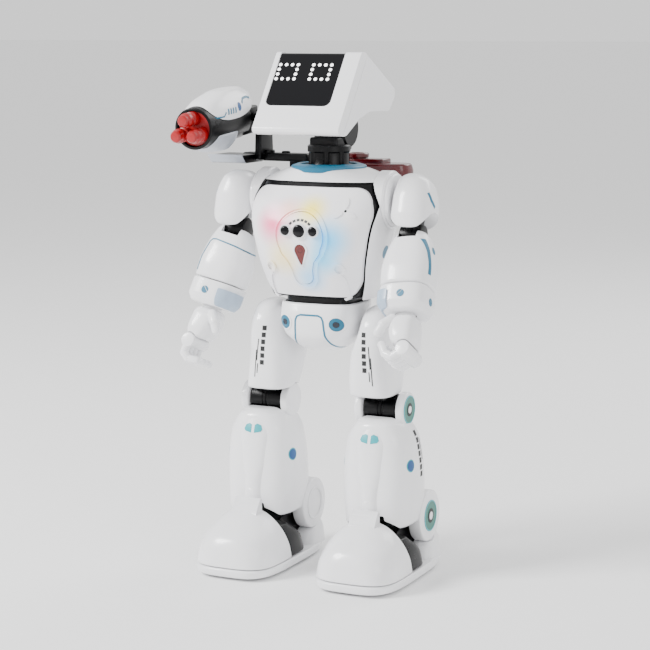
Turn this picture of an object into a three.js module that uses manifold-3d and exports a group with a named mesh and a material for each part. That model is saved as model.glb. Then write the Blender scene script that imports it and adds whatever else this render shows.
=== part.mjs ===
// A walking toy robot with a shoulder-mounted dart launcher and a water tank on its back.
// Millimetres, +Z up. The robot faces -Y and its left side is +X. The origin lies on the floor,
// under the centre of the robot's bounding box. Tables below are written in the robot's own
// frame, whose Z axis is the neck's turning axis; the exported group moves that frame back.
import * as THREE from 'three';
import { ConvexGeometry } from 'three/addons/geometries/ConvexGeometry.js';
import { mergeVertices } from 'three/addons/utils/BufferGeometryUtils.js';
import Module from 'manifold-3d';

const wasm = await Module();
wasm.setup();

// ---- driving dimensions -------------------------------------------------------------------
const NECK_AT = [2.9, 6]; // x and y of the neck's axis, measured from the origin
const WALL = 2.2; // moulded shell wall
const GAP = 0.4; // clearance between neighbouring pieces
const RING_POINTS = 14; // points round a section of a shell
const ROUND = 20; // sides of a turned piece

const LEG_X = 47.5; // centre of a foot from the middle of the robot
const HIP = { y: -1, z: 172 };
const KNEE = { x: 45.5, y: -3, z: 120.5, hub: 12.5, roller: 10.5, halfWidth: 19 };
const ANKLE = { y: 18, z: 39, disc: 18.8 };
const SHOULDER = { y: -2, z: 270 };
const ELBOW = { x: 70, drop: 26, barrel: 8.5 }; // the drop is from the shoulder's axis
const WRIST_DROP = 61; // elbow centre to wrist, along the forearm
const SWING = { left: 20, right: 8 }; // degrees that each arm is swung forwards at rest
const BEND = { left: 10, right: 10 }; // degrees that each elbow is bent at rest
const SPLAY = { left: 7, right: 12 }; // degrees that each forearm leans outwards
const FINGER_CLOSE = { left: 62, right: 0 }; // degrees that the fingers are closed at rest
const TILT_HINGE = { y: 12, z: 318.5, barrel: 13.5 };
const LAUNCHER = { x: -83, y: 20, z: 325, pitch: 5, bore: 13 };
const DART_CIRCLE = 7.4;
const AXLE = 3;

// ---- materials ----------------------------------------------------------------------------
const material = (color, roughness, metalness = 0) =>
  new THREE.MeshStandardMaterial({ color, roughness, metalness });
const WHITE = material(0xf1f1f3, 0.25);
const GREY = material(0xc9cacd, 0.35);
const BLACK = material(0x121216, 0.3);
const SMOKE = material(0x08080c, 0.08);
const TEAL = material(0x1d93ad, 0.3);
const RED = material(0xc8252c, 0.3);
const TANK_RED = material(0x7d1018, 0.2);
const GLOW = material(0xf3eef0, 0.35);
const STEEL = material(0xb5b8bc, 0.3, 1);
const BOARD = material(0x1c5a35, 0.6);
const RUBBER = material(0x1b1b1b, 0.8);

// ---- solids -------------------------------------------------------------------------------
const radians = THREE.MathUtils.degToRad;

function solid(geometry) {
  const plain = new THREE.BufferGeometry();
  plain.setAttribute('position', geometry.getAttribute('position'));
  plain.setIndex(geometry.index);
  const merged = mergeVertices(plain, 1e-4);
  const triVerts = new Uint32Array(merged.index.array);
  const vertProperties = merged.attributes.position.array;
  return new wasm.Manifold(new wasm.Mesh({ numProp: 3, vertProperties, triVerts }));
}

function geometryOf(made) {
  const mesh = made.getMesh();
  const geometry = new THREE.BufferGeometry();
  const positions = new THREE.BufferAttribute(mesh.vertProperties, 3);
  geometry.setAttribute('position', positions);
  geometry.setIndex(new THREE.BufferAttribute(mesh.triVerts, 1));
  geometry.computeVertexNormals();
  return geometry;
}

// A rounded rectangle: power 2 is an ellipse, and a higher power is squarer.
function roundedRing(halfU, halfV, power, count = RING_POINTS) {
  return Array.from({ length: count }, (_, i) => {
    const turn = ((i + 0.5) / count) * 2 * Math.PI;
    const bend = (value) => Math.sign(value) * Math.abs(value) ** (2 / power);
    return [halfU * bend(Math.cos(turn)), halfV * bend(Math.sin(turn))];
  });
}

// A level is [height, x low, x high, y low, y high, power]; inset draws it in on every side.
function levelRing([z, x0, x1, y0, y1, power], inset = 0, count = RING_POINTS) {
  const ring = roundedRing((x1 - x0) / 2 - inset, (y1 - y0) / 2 - inset, power, count);
  return ring.map(([u, v]) => new THREE.Vector3((x0 + x1) / 2 + u, (y0 + y1) / 2 + v, z));
}

// A closed solid over a stack of levels. Its top and bottom also come in by the inset,
// unless an end is left open so that a cavity breaks through there.
function stack(levels, { inset = 0, openTop = 0, openBottom = 0, count = RING_POINTS } = {}) {
  const heights = levels.map((level) => level[0]);
  const low = Math.min(...heights);
  const high = Math.max(...heights);
  const rings = levels.map(([z, ...rest]) => {
    let height = z;
    if (z === low) height = openBottom ? z - openBottom : z + inset;
    if (z === high) height = openTop ? z + openTop : z - inset;
    return levelRing([height, ...rest], inset, count);
  });
  return solid(new ConvexGeometry(rings.flat()));
}

// A closed solid over outlines that stand in planes along X; an outline is [x, [[y, z], ...]].
function sideHull(...outlines) {
  const points = outlines.flatMap(([x, outline]) =>
    outline.map(([y, z]) => new THREE.Vector3(x, y, z)));
  return solid(new ConvexGeometry(points));
}

function box(x0, x1, y0, y1, z0, z1) {
  const geometry = new THREE.BoxGeometry(x1 - x0, y1 - y0, z1 - z0);
  return solid(geometry.translate((x0 + x1) / 2, (y0 + y1) / 2, (z0 + z1) / 2));
}

// A round bar along an axis: c and d are its centre in the other two axes, in X, Y, Z order.
function bar(axis, radius, from, to, c, d, sides = ROUND, endRadius = radius) {
  const geometry = new THREE.CylinderGeometry(endRadius, radius, to - from, sides);
  const middle = (from + to) / 2;
  if (axis === 'x') geometry.rotateZ(-Math.PI / 2).translate(middle, c, d);
  if (axis === 'y') geometry.translate(c, middle, d);
  if (axis === 'z') geometry.rotateX(Math.PI / 2).translate(c, d, middle);
  return solid(geometry);
}

// A plate whose outline is seen from the front, [[x, z], ...], reaching from y0 back to y1.
function frontPlate(outline, y0, y1) {
  const shape = new THREE.Shape(outline.map(([x, z]) => new THREE.Vector2(x, z)));
  const geometry = new THREE.ExtrudeGeometry(shape, { depth: y1 - y0, bevelEnabled: false });
  return solid(geometry.rotateX(Math.PI / 2).translate(0, y1, 0));
}

const mirrored = (outline) => [...outline, ...outline.toReversed().map(([x, z]) => [-x, z])];

const arc = (y, z, radius, from, to, steps) =>
  Array.from({ length: steps + 1 }, (_, i) => {
    const turn = radians(from + ((to - from) * i) / steps);
    return [y + radius * Math.cos(turn), z + radius * Math.sin(turn)];
  });

// ---- scene graph --------------------------------------------------------------------------
const robot = new THREE.Group();
robot.position.set(...NECK_AT, 0);

function add(parent, name, made, finish) {
  const mesh = new THREE.Mesh(geometryOf(made), finish);
  mesh.name = name;
  parent.add(mesh);
  return mesh;
}

function turned(parent, x, y, z) {
  const group = new THREE.Group();
  group.position.set(x, y, z);
  parent.add(group);
  return group;
}

// ---- torso --------------------------------------------------------------------------------
const WINDOW_Z = 250;
const WINDOWS = [[-10.6, 3.3], [0, 4.4], [10.6, 3.3]];
const TORSO = [
  [199, -37, 37, -30, 25, 3],
  [212, -41, 41, -37, 29, 3],
  [235, -46.5, 46.5, -46.5, 32, 2.8],
  [252, -50, 50, -48, 34, 2.8],
  [266, -51, 51, -42, 34, 3],
  [281, -47.5, 47.5, -31, 32, 3],
  [287.5, -38, 38, -27, 28, 2.5],
  [291.5, -28, 28, -25, 25, 2.2],
];
const TORSO_SEAM = 2; // the front and back shells meet at this y
const OPENING = [[44.5, 282], [49.5, 276], [49, 262], [38.6, 211], [31.6, 190]];
const PANEL = [[40, 279.5], [44.5, 273], [46.4, 262], [37, 211], [31, 199.6]];
const NECK_HOLE = 20.4;

function buildTorso() {
  const outer = stack(TORSO);
  const cavity = stack(TORSO, { inset: WALL, openBottom: 4, count: 10 });
  const axleHole = bar('x', AXLE + GAP, -70, 70, SHOULDER.y, SHOULDER.z);
  const neckHole = bar('z', NECK_HOLE, 280, 300, 0, 0);
  const shell = outer.subtract(cavity).subtract(axleHole).subtract(neckHole);
  const opening = frontPlate(mirrored(OPENING), -60, -8);
  const front = box(-60, 60, -60, TORSO_SEAM, 190, 300);
  const back = box(-60, 60, TORSO_SEAM + GAP, 60, 190, 300);
  add(robot, 'chest_shell', shell.intersect(front).subtract(opening), WHITE);

  const doorHole = box(-22, 22, 20, 50, 206, 229);
  const launcherHole = box(-45, -24, 22, 50, 268, 292);
  add(robot, 'back_shell', shell.intersect(back).subtract(doorHole).subtract(launcherHole), WHITE);
  const door = outer.subtract(cavity).intersect(box(-22 + GAP, 22 - GAP, 20, 50, 206 + GAP, 229 - GAP));
  add(robot, 'battery_door', door, WHITE);

  const badgeHole = frontPlate(badgeOutline(GAP), -60, -30);
  const panel = outer.subtract(cavity)
    .intersect(frontPlate(mirrored(PANEL), -60, -8))
    .subtract(badgeHole);
  add(robot, 'chest_panel', panel, GLOW);

  const rim = stack(TORSO, { inset: WALL + GAP, count: 10 })
    .subtract(stack(TORSO, { inset: WALL + 2.4, openBottom: 6, count: 10 }))
    .intersect(frontPlate(mirrored(OPENING.map(([x, z]) => [x + 1, z])), -60, -10))
    .subtract(frontPlate(badgeOutline(1), -60, -20))
    .subtract(bar('z', NECK_HOLE + 1, 270, 300, 0, 0));
  const waist = stack([[190, -25, 25, -27.5, 19, 4], [204, -25, 25, -27.5, 19, 4]])
    .subtract(stack([[190, -23, 23, -25.5, 17, 4], [204, -23, 23, -25.5, 17, 4]],
      { openTop: 5, openBottom: 5 }));
  const tie = box(-20, 20, -38, -26.5, 201.8, 210);
  add(robot, 'inner_frame', rim.add(waist).add(tie.intersect(stack(TORSO, { inset: WALL + 1.4 }))), BLACK);

  const lens = stack([
    [210, -20, 20, -44, -34, 8],
    [250, -20, 20, -50.5, -40, 8],
    [264, -20, 20, -47, -40, 8],
  ]).intersect(frontPlate(badgeOutline(0), -60, -30))
    .subtract(frontPlate(dropOutline(GAP), -60, -20));
  const windows = WINDOWS.reduce((made, [x, radius]) =>
    made.subtract(bar('y', radius, -60, -30, x, WINDOW_Z, 20)), lens);
  add(robot, 'badge_lens', windows, GLOW);
  add(robot, 'sensor_plate', box(-16, 16, -37, -35, WINDOW_Z - 6, WINDOW_Z + 6), SMOKE);
  add(robot, 'power_button', frontPlate(dropOutline(0), -50.5, -37), RED);

  const collar = bar('z', 26.5, 292, 296, 0, 0, 24, 23.5)
    .subtract(bar('z', NECK_HOLE, 280, 300, 0, 0, 24));
  add(robot, 'collar_ring', collar, TEAL);
}

// The badge is round above and runs down to a narrow tongue.
function badgeOutline(grow) {
  const round = arc(0, 246, 17 + grow, -25, 205, 12);
  const tongue = arc(0, 219, 6.5 + grow, -170, -10, 6);
  return [...round, ...tongue];
}

function dropOutline(grow) {
  const head = arc(0, 236.3, 3.9 + grow, -10, 190, 10);
  return [...head, [-0.6, 226.2 - grow], [0.6, 226.2 - grow]];
}

// ---- pelvis -------------------------------------------------------------------------------
const PELVIS = [
  [196.5, -29, 29, -31, 24, 3.5],
  [186, -29, 29, -34, 26, 3.5],
  [175, -27.5, 27.5, -33, 25, 3],
  [166, -20, 20, -27, 20, 2.6],
  [161, -13, 13, -20, 14, 2.4],
];

function buildPelvis() {
  const shell = stack(PELVIS)
    .subtract(stack(PELVIS, { inset: WALL, openTop: 4, count: 10 }))
    .subtract(bar('x', AXLE + GAP, -70, 70, HIP.y, HIP.z));
  add(robot, 'pelvis_front_shell', shell.intersect(box(-40, 40, -50, HIP.y - 0.2, 150, 200)), WHITE);
  add(robot, 'pelvis_rear_shell', shell.intersect(box(-40, 40, HIP.y + 0.2, 50, 150, 200)), WHITE);
  add(robot, 'hip_axle', bar('x', AXLE, -50, 50, HIP.y, HIP.z, 16), STEEL);
  const gearbox = box(-14, 14, -15, 10, 171, 189)
    .subtract(bar('x', AXLE + GAP, -70, 70, HIP.y, HIP.z));
  add(robot, 'walk_gearbox', gearbox, BLACK);
}

// ---- inside the torso ---------------------------------------------------------------------
function buildInsides() {
  add(robot, 'shoulder_axle', bar('x', AXLE, -59, 59, SHOULDER.y, SHOULDER.z, 16), STEEL);
  add(robot, 'main_board', box(-28, 28, 2, 3.6, 214, 272), BOARD);
  add(robot, 'battery_pack', box(-20, 20, 7, 21, 208, 258), BLACK);
}

// ---- head and neck ------------------------------------------------------------------------
const FACE_LOW = { y: -57, z: 320.5 };
const FACE_HIGH = { y: -17, z: 373 };
const FACE_LENGTH = Math.hypot(FACE_HIGH.y - FACE_LOW.y, FACE_HIGH.z - FACE_LOW.z);
const FACE_LEAN = Math.atan2(FACE_HIGH.y - FACE_LOW.y, FACE_HIGH.z - FACE_LOW.z);
const HEAD_HALF = 33;

// A slab that lies along the face: u across, v up the slope, and depth behind the face plane.
function faceSlab(outline, depth0, depth1) {
  const shape = new THREE.Shape(outline.map(([u, v]) => new THREE.Vector2(u, v)));
  const geometry = new THREE.ExtrudeGeometry(shape, { depth: depth1 - depth0, bevelEnabled: false });
  geometry.rotateX(Math.PI / 2).translate(0, depth1, 0);
  geometry.rotateX(-FACE_LEAN).translate(0, FACE_LOW.y, FACE_LOW.z);
  return solid(geometry);
}

const rectangle = (halfU, v0, v1) => [[-halfU, v0], [halfU, v0], [halfU, v1], [-halfU, v1]];

function headForm(inset) {
  const side = [
    [FACE_LOW.y + inset, FACE_LOW.z + inset * 0.4],
    [FACE_LOW.y + 2 + inset * 0.8, FACE_LOW.z - 3 + inset],
    [-47 + inset * 0.3, 316 + inset],
    [-10, 321 + inset],
    [32 - inset * 0.4, 331 + inset],
    [42 - inset, 340.5],
    [42 - inset, 346.5 - inset * 0.4],
    [-6, 370.5 - inset],
    [-10, 373 - inset],
    [FACE_HIGH.y + inset * 0.6, FACE_HIGH.z - inset],
  ];
  const middle = [-6, 344];
  const drawn = side.map(([y, z]) => [y + (middle[0] - y) * 0.08, z + (middle[1] - z) * 0.08]);
  const half = HEAD_HALF - inset;
  return sideHull([-half, drawn], [-half + 4, side], [half - 4, side], [half, drawn]);
}

const NOTCH = [[-46, 300], [-46, 315], [-21, 327], [-3, 331.5], [32, 331], [38, 300]];

function buildHead() {
  const neckGroup = turned(robot, 0, 0, 0);
  const barrelSpace = bar('x', TILT_HINGE.barrel + GAP, -14, 14, TILT_HINGE.y, TILT_HINGE.z);
  const notch = sideHull(
    [-40, NOTCH],
    [40, NOTCH],
  );
  const neckSpace = stack([[300, -17, 17, -18, 30, 3], [336, -17, 17, -18, 30, 3]]);
  const cavity = headForm(WALL + 0.3).subtract(stackNotchLiner());
  const shell = headForm(0).subtract(notch).subtract(cavity).subtract(neckSpace).subtract(barrelSpace);
  const frontCut = faceSlab(rectangle(60, -40, 120), -20, 9);
  const rearCut = faceSlab(rectangle(60, -60, 160), 9 + GAP, 140);
  const screenHole = faceSlab(screenOutline(GAP), -20, 12);
  add(neckGroup, 'head_front_shell', shell.intersect(frontCut).subtract(screenHole), WHITE);
  add(neckGroup, 'head_rear_shell', shell.intersect(rearCut), WHITE);
  const screen = faceSlab(screenOutline(0), -1, 3).intersect(headForm(-0.8));
  add(neckGroup, 'face_screen', screen, SMOKE);
  const board = faceSlab(rectangle(23, 20, 54), 5, 6.6);
  add(neckGroup, 'eye_light_board', board, BOARD);

  const post = fluted(14.5, 288, 304).add(bar('z', 18.8, 290, 293, 0, 0));
  const cradle = stack([[303, -11, 11, -9, 11, 3.5], [311, -11, 11, -3, 16, 3.5]])
    .subtract(bar('x', TILT_HINGE.barrel + GAP, -30, 30, TILT_HINGE.y, TILT_HINGE.z));
  add(neckGroup, 'neck_post', post.add(cradle), BLACK);
  add(neckGroup, 'tilt_barrel', bar('x', TILT_HINGE.barrel, -12, 12, TILT_HINGE.y, TILT_HINGE.z), BLACK);
}

// The wall that closes the head above the notch at its lower back.
function stackNotchLiner() {
  const line = [[-48, 300], [-47, 316 + WALL], [-21, 327 + WALL], [-3, 331.5 + WALL], [33, 331 + WALL], [40, 300]];
  return sideHull([-40, line], [40, line]);
}

function screenOutline(grow) {
  const rows = [[26.5 + grow, 20 - grow], [26.5 + grow, FACE_LENGTH + 6]];
  const [[low, v0], [high, v1]] = rows;
  const corner = arc(low - 6, v0 + 6, 6, -90, -10, 5);
  const left = corner.toReversed().map(([u, v]) => [-u, v]);
  return [...corner, [high, v1], [-high, v1], ...left];
}

// A post with rounded flutes running down it.
function fluted(radius, from, to) {
  let made = bar('z', radius, from, to, 0, 0, 20);
  for (let i = 0; i < 8; i += 1) {
    const turn = (i / 8) * 2 * Math.PI + 0.3;
    const x = radius * 1.08 * Math.cos(turn);
    const y = radius * 1.08 * Math.sin(turn);
    made = made.subtract(bar('z', 2.2, from + 3, to + 1, x, y, 8));
  }
  return made;
}

// ---- arms: modelled as the left arm; the right one is its mirror image ---------------------
const UPPER_ARM = [
  [17, -9, 5, -12, 8, 2.2],
  [11, -13.5, 10.5, -19, 14, 2.3],
  [-3, -15.4, 15, -22, 16.5, 2.4],
  [-14, -15.2, 15.6, -22, 15.5, 2.4],
  [-22, -13, 14.6, -19, 13, 2.4],
  [-25.5, -10, 12, -14, 9, 2.2],
];
const FOREARM = [
  [3, -9, 9, -9, 9, 2.4],
  [-4, -13, 14, -13, 13.5, 2.6],
  [-18, -17, 17.5, -17, 17.5, 2.8],
  [-30, -18.5, 18.5, -18.5, 18.5, 3],
  [-41.5, -18, 18, -18, 18, 3],
];
const CUFF = [
  [-42.2, -18, 18, -18, 18, 3.2],
  [-54, -17.5, 18, -18, 17.5, 3.4],
  [-60, -14, 15.5, -15, 15, 3],
];
const PALM = [
  [-1, -9, 9, -9, 9, 2.6],
  [-6, -10, 10.5, -12.5, 12.5, 3],
  [-17, -8, 10.5, -14, 14, 3.4],
  [-24, -5, 9, -13, 13, 3],
];
const KNUCKLE = { x: 4.5, z: -27.5 };

function buildArm(side) {
  const sideGroup = turned(robot, 0, 0, 0);
  sideGroup.scale.x = side === 'left' ? 1 : -1;

  const ring = bar('x', 20.5, 42, 51.5, SHOULDER.y, SHOULDER.z, 20)
    .add(bar('x', 18.5, 51, 54, SHOULDER.y, SHOULDER.z, 20))
    .subtract(stack(TORSO, { inset: -GAP, count: 18 }))
    .subtract(bar('x', AXLE + GAP, 30, 60, SHOULDER.y, SHOULDER.z));
  add(sideGroup, `shoulder_ring_${side}`, ring, WHITE);

  const armGroup = turned(sideGroup, ELBOW.x, SHOULDER.y, SHOULDER.z);
  armGroup.rotation.x = radians(-SWING[side]);
  const arm = stack(UPPER_ARM)
    .subtract(stack(UPPER_ARM, { inset: WALL, openBottom: 6, count: 10 }))
    .subtract(bar('x', AXLE + GAP, -20, -8, 0, 0))
    .subtract(bar('x', 16.2, -30, 30, 0, -ELBOW.drop));
  add(armGroup, `upper_arm_${side}`, arm, WHITE);
  const elbow = bar('x', ELBOW.barrel, -8, 8, 0, -ELBOW.drop, 20)
    .add(box(-5, 5, -5, 5, -ELBOW.drop + 4, -ELBOW.drop + 19));
  add(armGroup, `elbow_${side}`, elbow, BLACK);

  const splay = turned(armGroup, 0, 0, -ELBOW.drop);
  splay.rotation.y = radians(-SPLAY[side]);
  const forearmGroup = turned(splay, 0, 0, 0);
  forearmGroup.rotation.x = radians(-BEND[side]);
  const barrelSpace = solid(new THREE.SphereGeometry(12.2, 20, 12));
  const forearm = stack(FOREARM)
    .subtract(stack(FOREARM, { inset: WALL, openBottom: 4, count: 10 }))
    .subtract(barrelSpace)
    .subtract(box(-7, 7, -20, 20, -6, 20));
  add(forearmGroup, `forearm_${side}`, forearm, WHITE);
  const cuff = stack(CUFF)
    .subtract(stack(CUFF, { inset: WALL, openTop: 4, count: 10 }))
    .subtract(bar('z', 7.5, -70, -50, 0, 0));
  add(forearmGroup, `cuff_${side}`, cuff, WHITE);

  const handGroup = turned(forearmGroup, 0, 0, -WRIST_DROP);
  const stem = bar('z', 7, -2, 6, 0, 0, 20);
  const knuckleSpace = bar('y', 6.2, -20, 20, KNUCKLE.x, KNUCKLE.z);
  const thumb = solid(new ConvexGeometry([
    ...ballPoints(-8, -10, -6, 3.8), ...ballPoints(-14, -11, -14, 3.4),
  ]));
  const hand = stack(PALM).subtract(knuckleSpace).add(stem).add(thumb);
  add(handGroup, `hand_${side}`, hand, WHITE);

  const fingerGroup = turned(handGroup, KNUCKLE.x, 0, KNUCKLE.z);
  fingerGroup.rotation.y = radians(FINGER_CLOSE[side]);
  add(fingerGroup, `fingers_${side}`, fingerSolid(), WHITE);
}

function ballPoints(x, y, z, radius) {
  const ball = new THREE.IcosahedronGeometry(radius, 1).translate(x, y, z);
  const positions = ball.getAttribute('position');
  return Array.from({ length: positions.count }, (_, i) =>
    new THREE.Vector3().fromBufferAttribute(positions, i));
}

// Four fingers moulded as one curled piece: the first joints hang down, the next curl inwards.
function fingerSolid() {
  const pitch = 6.6;
  let made = bar('y', 5.6, -13.2, 13.2, 0, 0, 20);
  for (let i = 0; i < 4; i += 1) {
    const y = (i - 1.5) * pitch;
    const reach = 3.1;
    const first = box(-3.5, 4.5, y - reach, y + reach, -11, 0);
    const second = box(-14, 4, y - reach, y + reach, -15.5, -9);
    made = made.add(first).add(second);
  }
  return made.add(box(-11, 3, -12, 12, -14, -10));
}

// ---- legs: modelled as the left leg; the right one is its mirror image ---------------------
const THIGH = [
  [194.5, 37, 49, -13, 9, 2.2],
  [190, 33, 52.5, -20, 15, 2.5],
  [180, 31, 54.5, -26, 21, 2.8],
  [156, 23.8, 56, -28, 25, 3],
  [145, 23.5, 56.5, -28, 19, 3],
  [131, 25, 57, -27, 10, 3.4],
];
const SHIN = [
  [116, 34, 59, -25, 8, 2.4],
  [111, 28, 65, -29, 14, 2.5],
  [98, 22, 71, -31, 18, 2.8],
  [75, 20, 73, -32, 21, 3],
  [52, 20.5, 72.5, -33, 24, 3],
  [38, 22, 71, -33, 24, 3],
];
const TOE = [
  [8.6, 16.5, 78.5, -75, 0, 3.4],
  [17, 17, 78, -74.5, -2, 3],
  [27, 20, 75, -71, -6, 2.7],
  [36, 26, 69, -61, -14, 2.4],
  [42, 33, 62, -51, -21, 2.2],
  [45, 40, 55, -43, -27, 2.1],
];
const SOLE = [
  [0, 21.5, 73.5, -69, 37, 3.6],
  [3, 16, 79, -75, 41, 4],
  [8, 15.5, 79.5, -76, 42, 4],
];

function buildLeg(side) {
  const leg = turned(robot, 0, 0, 0);
  leg.scale.x = side === 'left' ? 1 : -1;

  const [hubIn, hubOut] = [KNEE.x - KNEE.halfWidth, KNEE.x + KNEE.halfWidth];
  const [rollIn, rollOut] = [KNEE.x - 12.5, KNEE.x + 12.5];
  const hubSpace = bar('x', KNEE.hub + 0.8, 10, rollIn + 0.4, KNEE.y, KNEE.z)
    .add(bar('x', KNEE.hub + 0.8, rollOut - 0.4, 80, KNEE.y, KNEE.z));
  const rollerSpace = bar('x', KNEE.roller + GAP, 10, 80, KNEE.y, KNEE.z);
  const thigh = stack(THIGH)
    .subtract(stack(THIGH, { inset: WALL, openBottom: 6, count: 10 }))
    .subtract(hubSpace)
    .subtract(rollerSpace)
    .subtract(bar('x', AXLE + GAP, 10, 40, HIP.y, HIP.z));
  add(leg, `thigh_${side}`, thigh, WHITE);
  const roller = bar('x', KNEE.roller, rollIn, rollOut, KNEE.y, KNEE.z, 20)
    .subtract(bar('x', AXLE + GAP, 10, 80, KNEE.y, KNEE.z, 12))
    .add(box(rollIn + 4, rollOut - 7, KNEE.y - 8, KNEE.y + 6, KNEE.z + 6, KNEE.z + 24));
  add(leg, `knee_roller_${side}`, roller, BLACK);

  const hubs = bar('x', KNEE.hub, hubIn, rollIn - GAP, KNEE.y, KNEE.z)
    .add(bar('x', KNEE.hub, rollOut + GAP, hubOut, KNEE.y, KNEE.z));
  const kneePin = bar('x', AXLE, rollIn - 3, rollOut + 3, KNEE.y, KNEE.z, 12);
  const discs = bar('x', ANKLE.disc, 20, 30, ANKLE.y, ANKLE.z, 20)
    .add(bar('x', ANKLE.disc, 63, 73, ANKLE.y, ANKLE.z, 20));
  const kneeSpace = bar('x', 12.2, rollIn - GAP, rollOut + GAP, KNEE.y, KNEE.z);
  const footSpace = box(31, 62, -28, 60, 10, 50).add(box(35, 58, -60, -20, 10, 57.5));
  const lowerCut = sideHull(
    [10, [[-60, 0], [-60, 37], [-14, 37], [6, 24], [6, 0]]],
    [80, [[-60, 0], [-60, 37], [-14, 37], [6, 24], [6, 0]]],
  );
  const shin = stack(SHIN)
    .subtract(stack(SHIN, { inset: WALL + 0.5, openBottom: 8, openTop: 0, count: 10 }))
    .subtract(lowerCut)
    .subtract(stack(TOE, { inset: -3.2 }))
    .add(discs)
    .subtract(footSpace)
    .add(hubs)
    .subtract(kneeSpace)
    .add(kneePin);
  add(leg, `shin_${side}`, shin, WHITE);

  buildFoot(leg, side);
}

const HEEL = [
  [6, 18, 77, 6, 41, 4],
  [17, 19.5, 75.5, 10, 40.5, 4],
  [27, 27, 68, 35, 39.5, 3],
];
const INSERT = [
  [8.6, 17.5, 77.5, -40, 4.8, 4],
  [19, 19, 76, -40, 3, 3.6],
  [32.4, 24, 71, -40, -15, 3],
];
const TONGUE = [[-47, 33.2], [-43, 44], [-37, 50.5], [-31, 52.5], [-27, 50], [-27, 33.2]];
const SADDLE = [[-26, 12], [-24, 30], [18, 46], [26, 42], [26, 19], [23, 12]];

// The space behind the slanting rear edge of a toe shell.
function behindToe(shift) {
  const edge = [[-38 + shift, 50], [-28 + shift, 7], [30, 7], [30, 50]];
  return sideHull([10, edge], [85, edge]);
}

function buildFoot(leg, side) {
  const discSpace = bar('x', ANKLE.disc + 0.8, 19, 30.6, ANKLE.y, ANKLE.z)
    .add(bar('x', ANKLE.disc + 0.8, 62.4, 75, ANKLE.y, ANKLE.z));
  const heelCup = stack(HEEL).subtract(box(31.2, 61.8, 0, 26.6, 8.4, 50)).subtract(discSpace);
  const wheelWell = box(35, 58, 11, 29, -2, 7);
  const sole = stack(SOLE).add(heelCup).subtract(wheelWell).subtract(box(31.5, 61.5, 18, 22, -2, 7));
  add(leg, `sole_${side}`, sole, WHITE);

  const toe = stack(TOE)
    .subtract(stack(TOE, { inset: WALL, openBottom: 4, count: 10 }))
    .subtract(behindToe(0));
  const tongue = sideHull([37, TONGUE], [56, TONGUE]);
  add(leg, `toe_shell_${side}`, toe.add(tongue), WHITE);

  const saddle = sideHull(
    [32, SADDLE],
    [61, SADDLE],
  );
  const insert = stack(INSERT).add(saddle)
    .subtract(stack(TOE, { inset: -2 * GAP, openBottom: 2 }).subtract(behindToe(GAP)))
    .subtract(discSpace);
  add(leg, `boot_insert_${side}`, insert, BLACK);

  const wheels = bar('x', 3.4, 37, 43, 20, 3.4, 20)
    .add(bar('x', 3.4, 50, 56, 20, 3.4, 20))
    .add(bar('x', 1.2, 33, 60, 20, 3.4, 12));
  add(leg, `drive_wheels_${side}`, wheels, RUBBER);
}

// ---- launcher on the right shoulder --------------------------------------------------------
const LAUNCHER_TOP = [
  [-4, -15.2, 15.2, -66, -18, 3],
  [2, -15, 15, -72, 2, 3],
  [9, -15.5, 15.5, -70, 6, 3],
  [17, -13, 13, -60, 6, 2.8],
  [23, -8, 8, -38, -4, 2.3],
];
const LAUNCHER_UNDER = [
  [-19, -9, 9, -54, -28, 2.4],
  [-13, -13.5, 13.5, -64, -22, 2.8],
  [-6, -15.8, 15.8, -67, -20, 3],
];

function buildLauncher() {
  const { x, y, z, bore } = LAUNCHER;
  const column = [[y - 7, 294], [y + 9, 294], [y + 6, z + 5], [y - 5, z + 5]];
  const cradle = [[y - 26, 298], [y - 20, 292], [y + 8, 292], [y + 8, 298]];
  const bracket = box(x + 4, -26, y - 2, y + 10, 293, 299)
    .add(box(-43, -26, y + 3, y + 10, 270, 295))
    .add(sideHull([x + 17, column], [x + 22, column]))
    .add(sideHull([x - 12, cradle], [x + 16, cradle]))
    .add(bar('x', AXLE, x + 8, x + 19, y, z, 12))
    .subtract(stack(TORSO, { inset: -GAP, count: 18 }).subtract(box(-43.5, -25.5, 22, 50, 268, 290)));
  add(robot, 'launcher_bracket', bracket, BLACK);

  const launcher = turned(robot, x, y, z);
  launcher.rotation.x = radians(LAUNCHER.pitch);
  const body = bar('y', bore + 2, -70, -8, 0, 0)
    .add(box(-12, 12, -14, 9, -12, 8))
    .subtract(bar('y', bore, -80, -44, 0, 0))
    .subtract(bar('x', AXLE + GAP, 4, 30, 0, 0, 12));
  add(launcher, 'launcher_body', body, BLACK);
  const bodySpace = bar('y', bore + 2 + GAP, -90, 20, 0, 0)
    .add(box(-12.4, 12.4, -15, 20, -20, 8.4));
  const top = stack(LAUNCHER_TOP).subtract(bodySpace);
  add(launcher, 'launcher_top_cover', largest(top), WHITE);
  const under = stack(LAUNCHER_UNDER).subtract(bar('y', bore + 2 + GAP, -90, 20, 0, 0));
  add(launcher, 'launcher_under_cover', largest(under), GREY);

  let drum = bar('y', bore - GAP, -68, -48, 0, 0);
  const darts = [90, 210, 330].map((turn) => [
    DART_CIRCLE * Math.cos(radians(turn)), DART_CIRCLE * Math.sin(radians(turn)),
  ]);
  darts.forEach(([dartX, dartZ]) => {
    drum = drum.subtract(bar('y', 3.4, -80, -45, dartX, dartZ, 12));
  });
  add(launcher, 'dart_drum', drum, RED);
  darts.forEach(([dartX, dartZ], i) => {
    const dart = bar('y', 3, -70, -50, dartX, dartZ, 12)
      .add(bar('y', 5, -82, -68.5, dartX, dartZ, 12))
      .add(bar('y', 5, -86, -81.9, dartX, dartZ, 16, 3));
    add(launcher, `dart_${i + 1}`, dart, RED);
  });
}

function largest(made) {
  return made.decompose().reduce((a, b) => (a.volume() > b.volume() ? a : b));
}

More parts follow.
